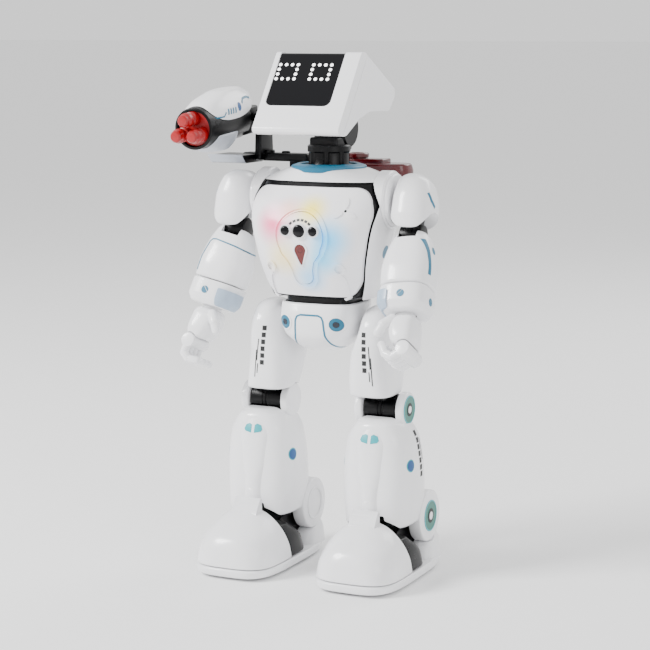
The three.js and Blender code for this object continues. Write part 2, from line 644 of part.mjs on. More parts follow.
// ---- water tank on the back ------------------------------------------------------------------
const TANK = [
  [232, -27, 27, 35, 55, 3.5],
  [262, -36, 36, 35, 62, 3.5],
  [286, -43, 43, 35, 64, 3.5],
  [292, -42, 42, 35, 62, 3.5],
];
const FILLER = { y: 49, radius: 7 };

function buildTank() {
  const tank = stack(TANK)
    .add(box(-24, 24, 41, 57, 288, 295))
    .subtract(stack(TANK, { inset: 2, count: 12 }))
    .subtract(bar('z', FILLER.radius, 280, 310, 0, FILLER.y));
  add(robot, 'water_tank', tank, TANK_RED);
  const cap = bar('z', FILLER.radius - GAP, 287, 296, 0, FILLER.y)
    .add(bar('z', FILLER.radius + 2, 295.4, 299, 0, FILLER.y));
  add(robot, 'tank_cap', cap, TANK_RED);
}

buildTorso();
buildPelvis();
buildInsides();
buildHead();
['left', 'right'].forEach(buildArm);
['left', 'right'].forEach(buildLeg);
buildLauncher();
buildTank();

export default robot;
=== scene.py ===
import bisect
import math

import bmesh
import bpy
from mathutils import Matrix, Vector


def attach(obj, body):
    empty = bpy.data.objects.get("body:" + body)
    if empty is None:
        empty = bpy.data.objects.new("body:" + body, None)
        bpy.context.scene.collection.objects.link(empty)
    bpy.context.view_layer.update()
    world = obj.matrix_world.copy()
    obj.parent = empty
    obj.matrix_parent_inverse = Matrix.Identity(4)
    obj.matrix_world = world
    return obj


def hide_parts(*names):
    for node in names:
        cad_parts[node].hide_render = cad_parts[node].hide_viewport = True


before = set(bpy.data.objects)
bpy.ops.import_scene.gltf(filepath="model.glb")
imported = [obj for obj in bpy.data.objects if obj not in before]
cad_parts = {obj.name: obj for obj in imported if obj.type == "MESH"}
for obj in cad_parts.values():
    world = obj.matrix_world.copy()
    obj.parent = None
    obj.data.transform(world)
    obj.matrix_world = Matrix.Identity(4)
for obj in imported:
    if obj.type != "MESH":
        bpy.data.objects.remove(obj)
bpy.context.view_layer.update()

# Every table below is in millimetres in the robot's own frame: the neck's axis is the Z axis,
# the robot faces -Y and its left side is +X. ROBOT takes that frame to the shared one.
MM = 0.001
NECK_AT = (2.9, 6, 0)
WALL = 2.2
GAP = 0.4


def shift(x, y, z):
    return Matrix.Translation((x, y, z))


def turn(axis, degrees):
    return Matrix.Rotation(math.radians(degrees), 4, axis)


ROBOT = Matrix.Scale(MM, 4) @ shift(*NECK_AT)
SIDES = {"left": ROBOT, "right": ROBOT @ Matrix.Diagonal((-1, 1, 1, 1))}

HIP = (-1, 172)
KNEE_X, KNEE_Y, KNEE_Z = 45.5, -3, 120.5
ANKLE_Y, ANKLE_Z = 18, 39
SHOULDER_Y, SHOULDER_Z = -2, 270
ELBOW_X, ELBOW_DROP = 70, 26
ELBOW_CUT = 17.2
WRIST_DROP = 61
KNUCKLE_X, KNUCKLE_Z = 4.5, -27.5
SWING = {"left": 20, "right": 8}
BEND = {"left": 10, "right": 10}
SPLAY = {"left": 7, "right": 12}
FINGER_CLOSE = {"left": 62, "right": 0}
TILT_Y, TILT_Z = 12, 318.5
LAUNCHER = ROBOT @ shift(-83, 20, 325) @ turn("X", 5)
BORE = 13
DART_CIRCLE = 7.4


def arm_place(side):
    return SIDES[side] @ shift(ELBOW_X, SHOULDER_Y, SHOULDER_Z) @ turn("X", -SWING[side])


def forearm_place(side):
    hang = arm_place(side) @ shift(0, 0, -ELBOW_DROP) @ turn("Y", -SPLAY[side])
    return hang @ turn("X", -BEND[side])


def hand_place(side):
    return forearm_place(side) @ shift(0, 0, -WRIST_DROP)


def fingers_place(side):
    return hand_place(side) @ shift(KNUCKLE_X, 0, KNUCKLE_Z) @ turn("Y", FINGER_CLOSE[side])


# ---- camera, light and floor ----------------------------------------------------------------
AIM = Vector((NECK_AT[0], NECK_AT[1], 177)) * MM
CAMERA_TURN, CAMERA_RISE, CAMERA_FAR = 25, 8.7, 1.4
SIDEWAYS = 0.0029
LENS = 107


def build_camera():
    turned, risen = math.radians(CAMERA_TURN), math.radians(CAMERA_RISE)
    flat = Vector((math.sin(turned), -math.cos(turned), 0))
    back = flat * math.cos(risen) + Vector((0, 0, math.sin(risen)))
    right = Vector((math.cos(turned), math.sin(turned), 0))
    camera = bpy.data.objects.new("camera", bpy.data.cameras.new("camera"))
    camera.data.lens = LENS
    camera.data.clip_start = 0.05
    camera.location = AIM + back * CAMERA_FAR - right * SIDEWAYS
    camera.rotation_euler = (-back).to_track_quat("-Z", "Y").to_euler()
    bpy.context.scene.collection.objects.link(camera)
    bpy.context.scene.camera = camera


def softbox(name, place, width, watts):
    light = bpy.data.lights.new(name, "AREA")
    light.shape = "SQUARE"
    light.size = width
    light.energy = watts
    lamp = bpy.data.objects.new(name, light)
    lamp.location = place
    lamp.rotation_euler = (AIM - Vector(place)).to_track_quat("-Z", "Y").to_euler()
    bpy.context.scene.collection.objects.link(lamp)


def build_light():
    softbox("key_light", (-1.1, -1.0, 1.2), 0.6, 48)
    softbox("fill_light", (1.35, -0.9, 0.6), 0.7, 4)
    softbox("rear_light", (0.5, 1.3, 1.2), 0.9, 12)
    world = bpy.data.worlds.new("studio")
    world.use_nodes = True
    backdrop = world.node_tree.nodes["Background"]
    backdrop.inputs["Color"].default_value = (1, 1, 1, 1)
    backdrop.inputs["Strength"].default_value = 1.15
    bpy.context.scene.world = world


def build_floor():
    bm = bmesh.new()
    bmesh.ops.create_grid(bm, x_segments=1, y_segments=1, size=60)
    floor = mesh_object("studio_floor", bm)
    floor.location.z = -0.0002
    floor.data.materials.append(studio_floor())


# ---- materials ------------------------------------------------------------------------------
def linear(hex_colour):
    """An sRGB hex colour as linear red, green, blue and alpha."""
    def channel(value):
        value /= 255
        return value / 12.92 if value <= 0.04045 else ((value + 0.055) / 1.055) ** 2.4
    return tuple(channel(int(hex_colour[i:i + 2], 16)) for i in (1, 3, 5)) + (1,)


def node(tree, kind, inputs=None, **settings):
    """Adds a node; an input is a value, or another node's output socket to link."""
    made = tree.nodes.new("ShaderNode" + kind)
    for name, value in settings.items():
        setattr(made, name, value)
    for name, value in (inputs or {}).items():
        if isinstance(value, bpy.types.NodeSocket):
            tree.links.new(value, made.inputs[name])
        else:
            made.inputs[name].default_value = value
    return made


def new_material(name):
    material = bpy.data.materials.new(name)
    material.use_nodes = True
    tree = material.node_tree
    return material, tree, tree.nodes["Principled BSDF"]


def moulded(name, colour, roughness, cast=0.03, grain=0.6, depth=0.05, ior=1.53, coat=0.0,
            gleam=0.5):
    """A moulded plastic: a slow cast in its colour and gloss, and the mould's fine texture.

    The grain is the width in mm of the mould's texture.
    """
    material, tree, shader = new_material(name)
    place = node(tree, "TexCoord").outputs["Object"]
    slow = node(tree, "TexNoise", {"Vector": place, "Scale": 45.0, "Detail": 2.0})
    fine = node(tree, "TexNoise", {"Vector": place, "Scale": 1000 / grain, "Detail": 3.0})
    base = linear(colour)
    dark = tuple(c * (1 - cast) for c in base[:3]) + (1,)
    tint = node(tree, "Mix", {"Factor": slow.outputs["Fac"]}, data_type="RGBA")
    tint.inputs[6].default_value = base
    tint.inputs[7].default_value = dark
    tree.links.new(tint.outputs[2], shader.inputs["Base Color"])
    gloss = node(tree, "MapRange", {
        "Value": slow.outputs["Fac"], "From Min": 0.3, "From Max": 0.7,
        "To Min": roughness * 0.88, "To Max": roughness * 1.12})
    tree.links.new(gloss.outputs["Result"], shader.inputs["Roughness"])
    bump = node(tree, "Bump", {
        "Height": fine.outputs["Fac"], "Strength": depth, "Distance": 0.0002})
    tree.links.new(bump.outputs["Normal"], shader.inputs["Normal"])
    shader.inputs["IOR"].default_value = ior
    shader.inputs["Coat Weight"].default_value = coat
    shader.inputs["Specular IOR Level"].default_value = gleam
    return material


def studio_floor():
    # Painted board: pale, flat, with a faint roller texture.
    return moulded("painted_studio_board", "#f6f6f6", 0.75, cast=0.01, grain=4, depth=0.02)


# colour, x, z, reach and share of each light behind the panel
GLOWS = [
    ("#ff5f93", -22, 254, 21, 0.85),
    ("#ffe36a", -15, 230, 20, 0.55),
    ("#ffe92a", 7, 266, 17, 0.95),
    ("#ffb08a", -10, 266, 14, 0.6),
    ("#35c4ff", 21, 244, 21, 0.9),
    ("#35c0ff", 5, 213, 18, 0.85),
    ("#45ccff", 16, 229, 17, 0.8),
]


def glowing_panel():
    """Translucent white ABS with coloured lights behind it: each light fades with distance. Near each
    light the base colour is tinted to that light's colour, a painted glow; the emission is the lights
    shining through the panel.
    """
    material, tree, shader = new_material("lit_white_abs")
    place = node(tree, "TexCoord").outputs["Object"]
    colour = node(tree, "RGB").outputs[0]
    colour.default_value = linear("#f4f3f6")
    light = None
    for hex_colour, x, z, reach, share in GLOWS:
        spot = Vector((x + NECK_AT[0], -46 + NECK_AT[1], z)) * MM
        far = node(tree, "VectorMath", {0: place, 1: spot}, operation="DISTANCE")
        fade = node(tree, "MapRange", {
            "Value": far.outputs["Value"], "From Min": 0.0, "From Max": reach * MM,
            "To Min": share, "To Max": 0.0}, interpolation_type="SMOOTHSTEP")
        # painted glow: the white base colour is tinted towards this light's colour near it
        mix = node(tree, "Mix", {"Factor": fade.outputs["Result"], 6: colour},
                   data_type="RGBA")
        mix.inputs[7].default_value = linear(hex_colour)
        colour = mix.outputs[2]
        glow = node(tree, "Mix", {"Factor": fade.outputs["Result"]}, data_type="RGBA")
        glow.inputs[6].default_value = (0, 0, 0, 1)
        glow.inputs[7].default_value = linear(hex_colour)
        if light is not None:
            tree.links.new(light, glow.inputs[6])
        light = glow.outputs[2]
    tree.links.new(colour, shader.inputs["Base Color"])
    tree.links.new(light, shader.inputs["Emission Color"])
    shader.inputs["Emission Strength"].default_value = 0.35
    shader.inputs["Roughness"].default_value = 0.3
    shader.inputs["IOR"].default_value = 1.53
    fine = node(tree, "TexNoise", {"Vector": place, "Scale": 1600.0, "Detail": 3.0})
    bump = node(tree, "Bump", {
        "Height": fine.outputs["Fac"], "Strength": 0.04, "Distance": 0.0002})
    tree.links.new(bump.outputs["Normal"], shader.inputs["Normal"])
    return material


def led():
    # Frosted light pipes, lit from behind: small, even white dots.
    material = moulded("white_light_dots", "#ffffff", 0.4)
    shader = material.node_tree.nodes["Principled BSDF"]
    shader.inputs["Emission Color"].default_value = (1, 1, 1, 1)
    shader.inputs["Emission Strength"].default_value = 2.2
    return material


def tank_plastic():
    # Tinted clear styrene: a dark red that lets some light through.
    material = moulded("tinted_red_styrene", "#5e0009", 0.16, cast=0.12, ior=1.59)
    shader = material.node_tree.nodes["Principled BSDF"]
    shader.inputs["Transmission Weight"].default_value = 0.25
    return material


def steel():
    # Turned steel: grey, with the cutter's fine grooves. A metal keeps the usual index of 1.5.
    material = moulded("turned_steel", "#b9bcc0", 0.32, grain=0.4, depth=0.1)
    shader = material.node_tree.nodes["Principled BSDF"]
    shader.inputs["Metallic"].default_value = 1.0
    shader.inputs["IOR"].default_value = 1.5
    return material


MATERIALS = {
    # Injection-moulded ABS, polished mould: a soft gloss with broad, clean highlights.
    "white": moulded("gloss_white_abs", "#f2f2f4", 0.24, coat=0.25),
    "panel": glowing_panel(),
    "led": led(),
    # Matt moulded ABS: a light grey for the launcher's under cover and the bracket's trim, and a
    # blue-grey that is painted shade, standing for the shadow on the cuff's white raised block.
    "grey": moulded("light_grey_abs", "#aeb3bc", 0.3),
    "shade": moulded("painted_shade_blue_grey", "#a3b6ca", 0.3),
    # Black ABS from a fine-textured mould: satin, with a faint blue cast.
    "black": moulded("satin_black_abs", "#050507", 0.3, cast=0.25, grain=0.5, depth=0.12, ior=1.5,
                     gleam=0.22),
    # Smoked acrylic: almost black, and mirror-like.
    "smoke": moulded("smoked_acrylic", "#040408", 0.07, cast=0.1, depth=0.01, ior=1.49,
                     gleam=0.25),
    # Pad-printed enamel: flat colour with an even, soft sheen.
    "teal": moulded("teal_paint", "#006685", 0.35),
    "hub": moulded("green_teal_paint", "#006e60", 0.35),
    "pale": moulded("pale_teal_paint", "#2ba3ad", 0.35),
    "blue": moulded("blue_paint", "#004a86", 0.32),
    "navy": moulded("navy_paint", "#041527", 0.25),
    "ink": moulded("black_ink", "#060709", 0.5),
    # Soft vinyl: a waxy red that spreads its highlights.
    "red": moulded("red_soft_vinyl", "#9e0009", 0.38, cast=0.1, grain=0.8, depth=0.1),
    "button": moulded("dull_red_abs", "#5e120f", 0.35, cast=0.1),
    "tank": tank_plastic(),
    "steel": steel(),
    # Solder mask over glass fibre: green, and glossy in patches.
    "board": moulded("green_solder_mask", "#1c5a35", 0.4, cast=0.2),
    # Rubber tyre: dull, and a little dusty.
    "rubber": moulded("black_rubber", "#1b1b1b", 0.8, cast=0.2, grain=0.7, depth=0.3, ior=1.52),
}


# ---- shapes ---------------------------------------------------------------------------------
def mesh_object(name, bm):
    mesh = bpy.data.meshes.new(name)
    bm.to_mesh(mesh)
    bm.free()
    made = bpy.data.objects.new(name, mesh)
    bpy.context.scene.collection.objects.link(made)
    return made


def eased(knots, values, at):
    """A smooth curve through the knots that never overshoots between two of them."""
    gaps = [b - a for a, b in zip(knots, knots[1:])]
    slopes = [(b - a) / gap for a, b, gap in zip(values, values[1:], gaps)]
    inner = [2 * p * q / (p + q) if p * q > 0 else 0 for p, q in zip(slopes, slopes[1:])]
    tangents = [slopes[0], *inner, slopes[-1]]
    i = max(0, min(len(gaps) - 1, bisect.bisect_right(knots, at) - 1))
    u = (at - knots[i]) / gaps[i]
    start = values[i] * (1 + 2 * u) + tangents[i] * gaps[i] * u
    end = values[i + 1] * (3 - 2 * u) - tangents[i + 1] * gaps[i] * (1 - u)
    return start * (1 - u) ** 2 + end * u ** 2


def stations(low, high, rows, rim):
    """Height, draw-in and share of the full width for each row, from the top pole down."""
    turns = [math.radians(a) for a in (0, 22.5, 45, 67.5, 90)]
    rounding = [(rim * (1 - math.cos(a)), rim * (1 - math.sin(a)), 1) for a in turns]
    end = [(0, rim, 0), (0, rim, 0.5), *rounding]
    count = rows + 1 - 2 * len(end)
    length = high - low - 2 * rim
    steps = [(i + 1) / (count + 1) for i in range(count)]
    middle = [high - rim - length * (1 - math.cos(math.pi * s)) / 2 for s in steps]
    top = [(high - drop, draw, share) for drop, draw, share in end]
    bottom = [(low + drop, draw, share) for drop, draw, share in reversed(end)]
    return top + [(z, 0, 1) for z in middle] + bottom


def form(levels, inset=0.0, rim=1.5, rows=34, sides=56, low=0.0, high=0.0):
    """A closed, smooth body through a stack of rounded rectangles.

    A level is [height, x low, x high, y low, y high, power]. Inset draws the body in, and low
    and high push its ends out past the table.
    """
    ordered = sorted(levels)
    knots = [level[0] for level in ordered]
    columns = list(zip(*ordered))[1:]
    ends = (knots[0] + inset - low, knots[-1] - inset + high)
    rows_at = stations(*ends, rows, rim)
    bm = bmesh.new()
    bmesh.ops.create_uvsphere(bm, u_segments=sides, v_segments=rows, radius=1)
    for vert in bm.verts:
        row = round(math.acos(max(-1, min(1, vert.co.z))) / math.pi * rows)
        z, draw, share = rows_at[row]
        at = max(knots[0], min(knots[-1], z))
        x0, x1, y0, y1, power = (eased(knots, column, at) for column in columns)
        around = math.atan2(vert.co.y, vert.co.x)
        bent = [math.copysign(abs(c) ** (2 / power), c) for c in (math.cos(around), math.sin(around))]
        vert.co.x = (x0 + x1) / 2 + ((x1 - x0) / 2 - inset - draw) * share * bent[0]
        vert.co.y = (y0 + y1) / 2 + ((y1 - y0) / 2 - inset - draw) * share * bent[1]
        vert.co.z = z
    return bm


def rounded(bm, width, segments=3, above=30):
    """Rounds every edge that turns by more than an angle."""
    edges = [e for e in bm.edges if e.calc_face_angle(0) > math.radians(above)]
    bmesh.ops.bevel(bm, geom=edges, offset=width, offset_type="OFFSET", affect="EDGES",
                    segments=segments, profile=0.5, material=-1, clamp_overlap=True)
    return bm


def block(x0, x1, y0, y1, z0, z1, edge=0.0):
    bm = bmesh.new()
    size = Matrix.Diagonal((x1 - x0, y1 - y0, z1 - z0, 1))
    centre = shift((x0 + x1) / 2, (y0 + y1) / 2, (z0 + z1) / 2)
    bmesh.ops.create_cube(bm, size=1, matrix=centre @ size)
    return rounded(bm, edge) if edge else bm


AXIS_TURNS = {"x": turn("Y", 90), "y": turn("X", -90), "z": Matrix.Identity(4)}


def bar(axis, radius, low, high, c=0.0, d=0.0, edge=0.0, sides=48):
    """A round bar along an axis; c and d are its centre in the other two axes."""
    bm = bmesh.new()
    middle = (low + high) / 2
    centre = {"x": (middle, c, d), "y": (c, middle, d), "z": (c, d, middle)}[axis]
    bmesh.ops.create_cone(bm, cap_ends=True, segments=sides, radius1=radius,
                          radius2=radius, depth=high - low,
                          matrix=shift(*centre) @ AXIS_TURNS[axis])
    return rounded(bm, edge) if edge else bm


def capsule(start, end, radius):
    """A round-ended rod."""
    bm = bmesh.new()
    bmesh.ops.create_uvsphere(bm, u_segments=20, v_segments=12, radius=radius)
    along = Vector(end) - Vector(start)
    for vert in bm.verts:
        if vert.co.z > 1e-4:
            vert.co.z += along.length
    lean = along.to_track_quat("Z", "Y").to_matrix().to_4x4()
    bmesh.ops.transform(bm, matrix=shift(*start) @ lean, verts=bm.verts)
    return bm


def plate(outline, low, high, axis="y", corner=0.0, edge=0.0):
    """An outline pushed along an axis; it is (x, z) along y, (y, z) along x and (x, y) along z."""
    spots = {"x": lambda u, v: (low, u, v), "y": lambda u, v: (u, low, v),
             "z": lambda u, v: (u, v, low)}[axis]
    reach = {"x": (high - low, 0, 0), "y": (0, high - low, 0), "z": (0, 0, high - low)}[axis]
    bm = bmesh.new()
    face = bm.faces.new([bm.verts.new(spots(u, v)) for u, v in outline])
    pushed = bmesh.ops.extrude_face_region(bm, geom=[face])["geom"]
    verts = [g for g in pushed if isinstance(g, bmesh.types.BMVert)]
    bmesh.ops.translate(bm, vec=reach, verts=verts)
    bmesh.ops.recalc_face_normals(bm, faces=bm.faces)
    if corner:
        along = Vector(reach).normalized()
        edges = [e for e in bm.edges
                 if abs((e.verts[0].co - e.verts[1].co).normalized().dot(along)) > 0.99]
        bmesh.ops.bevel(bm, geom=edges, offset=corner, offset_type="OFFSET", affect="EDGES",
                        segments=6, profile=0.5, material=-1, clamp_overlap=True)
    return rounded(bm, edge) if edge else bm


def lathe(axis, outline, c=0.0, d=0.0, steps=56):
    """A closed outline of (radius, place along the axis), turned about the axis."""
    bm = bmesh.new()
    verts = [bm.verts.new((radius, 0, z)) for radius, z in outline]
    edges = [bm.edges.new(pair) for pair in zip(verts, verts[1:] + verts[:1])]
    bmesh.ops.spin(bm, geom=verts + edges, cent=(0, 0, 0), axis=(0, 0, 1),
                   angle=2 * math.pi, steps=steps, use_merge=True)
    bmesh.ops.remove_doubles(bm, verts=bm.verts, dist=1e-4)
    bmesh.ops.recalc_face_normals(bm, faces=bm.faces)
    centre = {"x": (0, c, d), "y": (c, 0, d), "z": (c, d, 0)}[axis]
    bmesh.ops.transform(bm, matrix=shift(*centre) @ AXIS_TURNS[axis], verts=bm.verts)
    return bm


def moved(bm, matrix):
    bmesh.ops.transform(bm, matrix=matrix, verts=bm.verts)
    if matrix.determinant() < 0:
        bmesh.ops.reverse_faces(bm, faces=bm.faces)
    return bm


def joined(*parts):
    """Several shapes as one mesh of separate shells."""
    whole = bmesh.new()
    for part in parts:
        mesh = bpy.data.meshes.new("part")
        part.to_mesh(mesh)
        part.free()
        whole.from_mesh(mesh)
        bpy.data.meshes.remove(mesh)
    return whole


def carve(base, minus=(), within=(), plus=()):
    """The base joined with plus, kept inside each of within, less each of minus."""
    body = mesh_object("carved", base)
    tools = []
    for action, parts in (("UNION", plus), ("INTERSECT", within), ("DIFFERENCE", minus)):
        for part in parts:
            tool = mesh_object("tool", part)
            cut = body.modifiers.new("cut", "BOOLEAN")
            cut.operation = action
            cut.solver = "MANIFOLD"
            cut.object = tool
            tools.append(tool)
    graph = bpy.context.evaluated_depsgraph_get()
    bm = bmesh.new()
    bm.from_object(body, graph)
    for used in [body, *tools]:
        mesh = used.data
        bpy.data.objects.remove(used)
        bpy.data.meshes.remove(mesh)
    return bm


def ribbon(points, width):
    """The outline of a strip of one width along a line of points."""
    left, right = [], []
    for i, point in enumerate(points):
        before, after = points[max(0, i - 1)], points[min(len(points) - 1, i + 1)]
        du, dv = after[0] - before[0], after[1] - before[1]
        size = math.hypot(du, dv)
        left.append((point[0] - dv / size * width / 2, point[1] + du / size * width / 2))
        right.append((point[0] + dv / size * width / 2, point[1] - du / size * width / 2))
    return left + right[::-1]


def arc(u, v, radius, start, end, steps):
    turns = [math.radians(start + (end - start) * i / steps) for i in range(steps + 1)]
    return [(u + radius * math.cos(a), v + radius * math.sin(a)) for a in turns]


def circle(u, v, radius, steps=32):
    return arc(u, v, radius, 0, 360, steps)[:-1]


def ellipse(u, v, wide, tall, steps=16):
    """An outline of half-widths wide and tall, round a centre."""
    return [(u + wide * x, v + tall * y) for x, y in circle(0, 0, 1, steps)]


def rectangle(u0, u1, v0, v1):
    return [(u0, v0), (u1, v0), (u1, v1), (u0, v1)]


def both_sides(outline):
    return outline + [(-u, v) for u, v in reversed(outline)]


def piece(name, bm, place, body, finish, *replaces, edge=0.0, sharp=32):
    """Puts a shape in its place on a body, with its finish and its soft edges."""
    made = mesh_object(name, moved(bm, place))
    made.data.materials.append(MATERIALS[finish])
    for face in made.data.polygons:
        face.use_smooth = True
    if edge:
        soft = made.modifiers.new("soft_edges", "BEVEL")
        soft.width = edge * MM
        soft.segments = 2
        soft.angle_limit = math.radians(sharp)
        soft.harden_normals = True
    else:
        made.data.set_sharp_from_angle(angle=math.radians(sharp))
    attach(made, body)
    if replaces:
        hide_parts(*replaces)
    return made


# ---- torso ----------------------------------------------------------------------------------
TORSO = [
    [199, -37, 37, -30, 25, 3],
    [212, -41, 41, -37, 29, 3],
    [235, -46.5, 46.5, -46.5, 32, 2.8],
    [252, -50, 50, -48, 34, 2.8],
    [266, -51, 51, -42, 34, 3],
    [281, -47.5, 47.5, -31, 32, 3],
    [287.5, -38, 38, -27, 28, 2.5],
    [291.5, -28, 28, -25, 25, 2.2],
]
SEAM_Y = 2
OPENING = both_sides([(45.5, 283), (50, 276), (48.6, 262), (38.2, 211), (31.6, 190)])
PANEL = both_sides([(38, 279.6), (44, 274), (46.8, 262), (37, 212), (30.6, 202.4)])
NECK_HOLE = 20.4
WINDOW_Z = 250
WINDOWS = [(-10.6, 3.3), (0, 4.4), (10.6, 3.3)]
RELIEF = [(26.3, 219), (28.6, 216.4), (29.4, 212), (29.4, 206), (28.6, 202), (26, 200.6)]


def badge(grow):
    """The badge's outline: a round part, pinched below, and a tongue."""
    flank = [(-13.6, 233.6), (-9, 228), (-6.8, 222)]
    left = [(u - grow, v) for u, v in flank]
    right = [(u + grow, v) for u, v in reversed([(-u, v) for u, v in flank])]
    return (arc(0, 246, 17 + grow, -30, 210, 24) + left
            + arc(0, 218, 6.3 + grow, -180, 0, 12) + right)


def drop(grow):
    return arc(0, 236.3, 3.9 + grow, -10, 190, 16) + [(-0.6, 226.2 - grow), (0.6, 226.2 - grow)]


def torso_form(inset=0.0, **more):
    return form(TORSO, inset, rows=54, sides=88, **more)


def torso_space():
    """The torso's inside, the neck's hole and the shoulder axle's hole."""
    return [torso_form(WALL, low=4), bar("z", NECK_HOLE, 280, 300),
            bar("x", 3.4, -70, 70, SHOULDER_Y, SHOULDER_Z)]


def build_torso():
    front = carve(torso_form(), [*torso_space(), plate(OPENING, -60, -8, corner=5)],
                  [block(-60, 60, -60, SEAM_Y, 190, 300)])
    piece("chest_shell_skin", front, ROBOT, "torso", "white", "chest_shell", edge=0.5)
    holes = [block(-22, 22, 20, 50, 206, 229), block(-45, -24, 22, 50, 268, 292)]
    back = carve(torso_form(), torso_space() + holes, [block(-60, 60, SEAM_Y + GAP, 60, 190, 300)])
    piece("back_shell_skin", back, ROBOT, "torso", "white", "back_shell", edge=0.4)
    door = carve(torso_form(), [torso_form(WALL)],
                 [block(-21.6, 21.6, 20, 50, 206.4, 228.6, edge=1)])
    piece("battery_door_skin", door, ROBOT, "torso", "white", "battery_door", edge=0.3)
    backing = carve(torso_form(1.5), [torso_form(3.2), bar("z", NECK_HOLE + 1, 270, 300)],
                    [plate(OPENING, -60, -8, corner=5)])
    waist = form([[188, -25, 25, -27.5, 19, 4], [205, -25, 25, -27.5, 19, 4]])
    piece("opening_backing", joined(backing, waist), ROBOT, "torso", "black", "inner_frame")
    collar = lathe("z", [(20.6, 289), (20.6, 293.8), (22, 294.4), (26.4, 293), (27, 292.4),
                         (27, 289)])
    piece("collar_band", collar, ROBOT, "torso", "teal", "collar_ring")
    for side, place in SIDES.items():
        disc = carve(torso_form(-0.2), within=[plate(circle(-4.7, 233, 4.6), 30, 60, "x")])
        piece(f"torso_side_disc_{side}", disc, place, "torso", "teal")
        ring = carve(torso_form(-0.1), [plate(circle(-4.7, 233, 4.6), 20, 70, "x")],
                     [plate(circle(-4.7, 233, 6), 30, 60, "x")])
        piece(f"torso_side_ring_{side}", ring, place, "torso", "white", edge=0.2)


def build_panel():
    panel = carve(torso_form(-0.5), [torso_form(WALL), plate(badge(GAP), -60, -30)],
                  [plate(PANEL, -60, -8, corner=8)])
    piece("chest_panel_skin", panel, ROBOT, "torso", "panel", "chest_panel", edge=0.9)
    build_badge()
    build_sensors()
    build_button()
    build_badge_marks()


def build_badge():
    lens = carve(torso_form(-1.3), [plate(drop(GAP), -60, -20)],
                 [plate(badge(0), -60, -34)])
    piece("badge_skin", lens, ROBOT, "torso", "panel", "badge_lens", edge=0.7)
    line = carve(torso_form(-1.4), [plate(badge(2.2), -60, -20)], [plate(badge(4), -60, -34)])
    piece("light_guide_line", line, ROBOT, "torso", "panel", edge=0.8)


def build_sensors():
    eyes = [bar("y", radius, -51.6, -40, x, WINDOW_Z, edge=1.2) for x, radius in WINDOWS]
    piece("sensor_windows", joined(*eyes), ROBOT, "torso", "smoke", "sensor_plate")
    rims = [lathe("y", [(radius, -40), (radius, -50.6), (radius + 0.5, -51.1),
                        (radius + 1, -50.4), (radius + 1, -40)], x, WINDOW_Z)
            for x, radius in WINDOWS]
    piece("sensor_rims", joined(*rims), ROBOT, "torso", "white")


def build_button():
    button = carve(torso_form(-1.8), within=[plate(drop(0), -60, -36)])
    piece("power_button_skin", button, ROBOT, "button", "button", "power_button", edge=0.8)
    frame_strip = carve(torso_form(-1.9), [plate(drop(GAP), -60, -20)],
                        [plate(drop(1.7), -60, -36)])
    piece("button_frame", frame_strip, ROBOT, "torso", "white", edge=0.4)
    mark = carve(torso_form(-2.0), [plate(circle(0, 236.3, 1.5, 20), -60, -20)],
                 [plate(circle(0, 236.3, 1.9, 20), -60, -40)])
    piece("button_mark", mark, ROBOT, "button", "tank")


def build_badge_marks():
    bars = []
    for step in range(6):
        lean = 128 - 15.2 * step
        dash = arc(0, 246, 11.6, lean + 5.4, lean - 5.4, 4)
        bars.append(plate(ribbon(dash, 1.7), -60, -40))
    marks = carve(torso_form(-1.45), within=[joined(*bars)])
    piece("badge_marks", marks, ROBOT, "torso", "ink")


def build_panel_relief():
    hole = bar("y", 0.9, -60, -30, 31.2, 264.3)
    piece("pin_hole", carve(torso_form(-0.6), within=[hole]), ROBOT, "torso", "ink")
    leaves = []
    for lean in (90, 210, 330):
        middle = arc(31.2, 264.3, 5.2, lean, lean, 1)[0]
        leaf = plate(ellipse(0, 0, 3.4, 1.5), -60, -30)
        leaves.append(moved(leaf, shift(middle[0], 0, middle[1]) @ turn("Y", -lean)))
    piece("pin_leaves", carve(torso_form(-1.3), within=[joined(*leaves)]), ROBOT, "torso",
          "panel", edge=0.25)
    knobs, rims = [[plate(circle(sign * 26.3, 223.2, radius), -60, -20) for sign in (1, -1)]
                   for radius in (2.8, 4.3)]
    piece("panel_knob_rims", carve(torso_form(-1.9), knobs, [joined(*rims)]), ROBOT, "torso",
          "panel", edge=0.6)
    lines = [plate(ribbon([(sign * u, v) for u, v in RELIEF], 1.8), -60, -10)
             for sign in (1, -1)]
    piece("panel_ridges", carve(torso_form(-1.6), within=[joined(*lines)]), ROBOT, "torso",
          "panel", edge=0.7)


# ---- pelvis ---------------------------------------------------------------------------------
PELVIS = [
    [196.5, -29, 29, -31, 24, 3.5],
    [186, -29, 29, -34, 26, 3.5],
    [175, -27.5, 27.5, -33, 25, 3],
    [166, -20, 20, -27, 20, 2.6],
    [161, -13, 13, -20, 14, 2.4],
]
ARCH = [(-17, 162.6), (-13.6, 168), (-11.6, 174), (-10.8, 184.6), (-9.6, 187.4), (-7, 188.6)]


def pelvis_form(inset=0.0, **more):
    return form(PELVIS, inset, rows=40, sides=72, **more)


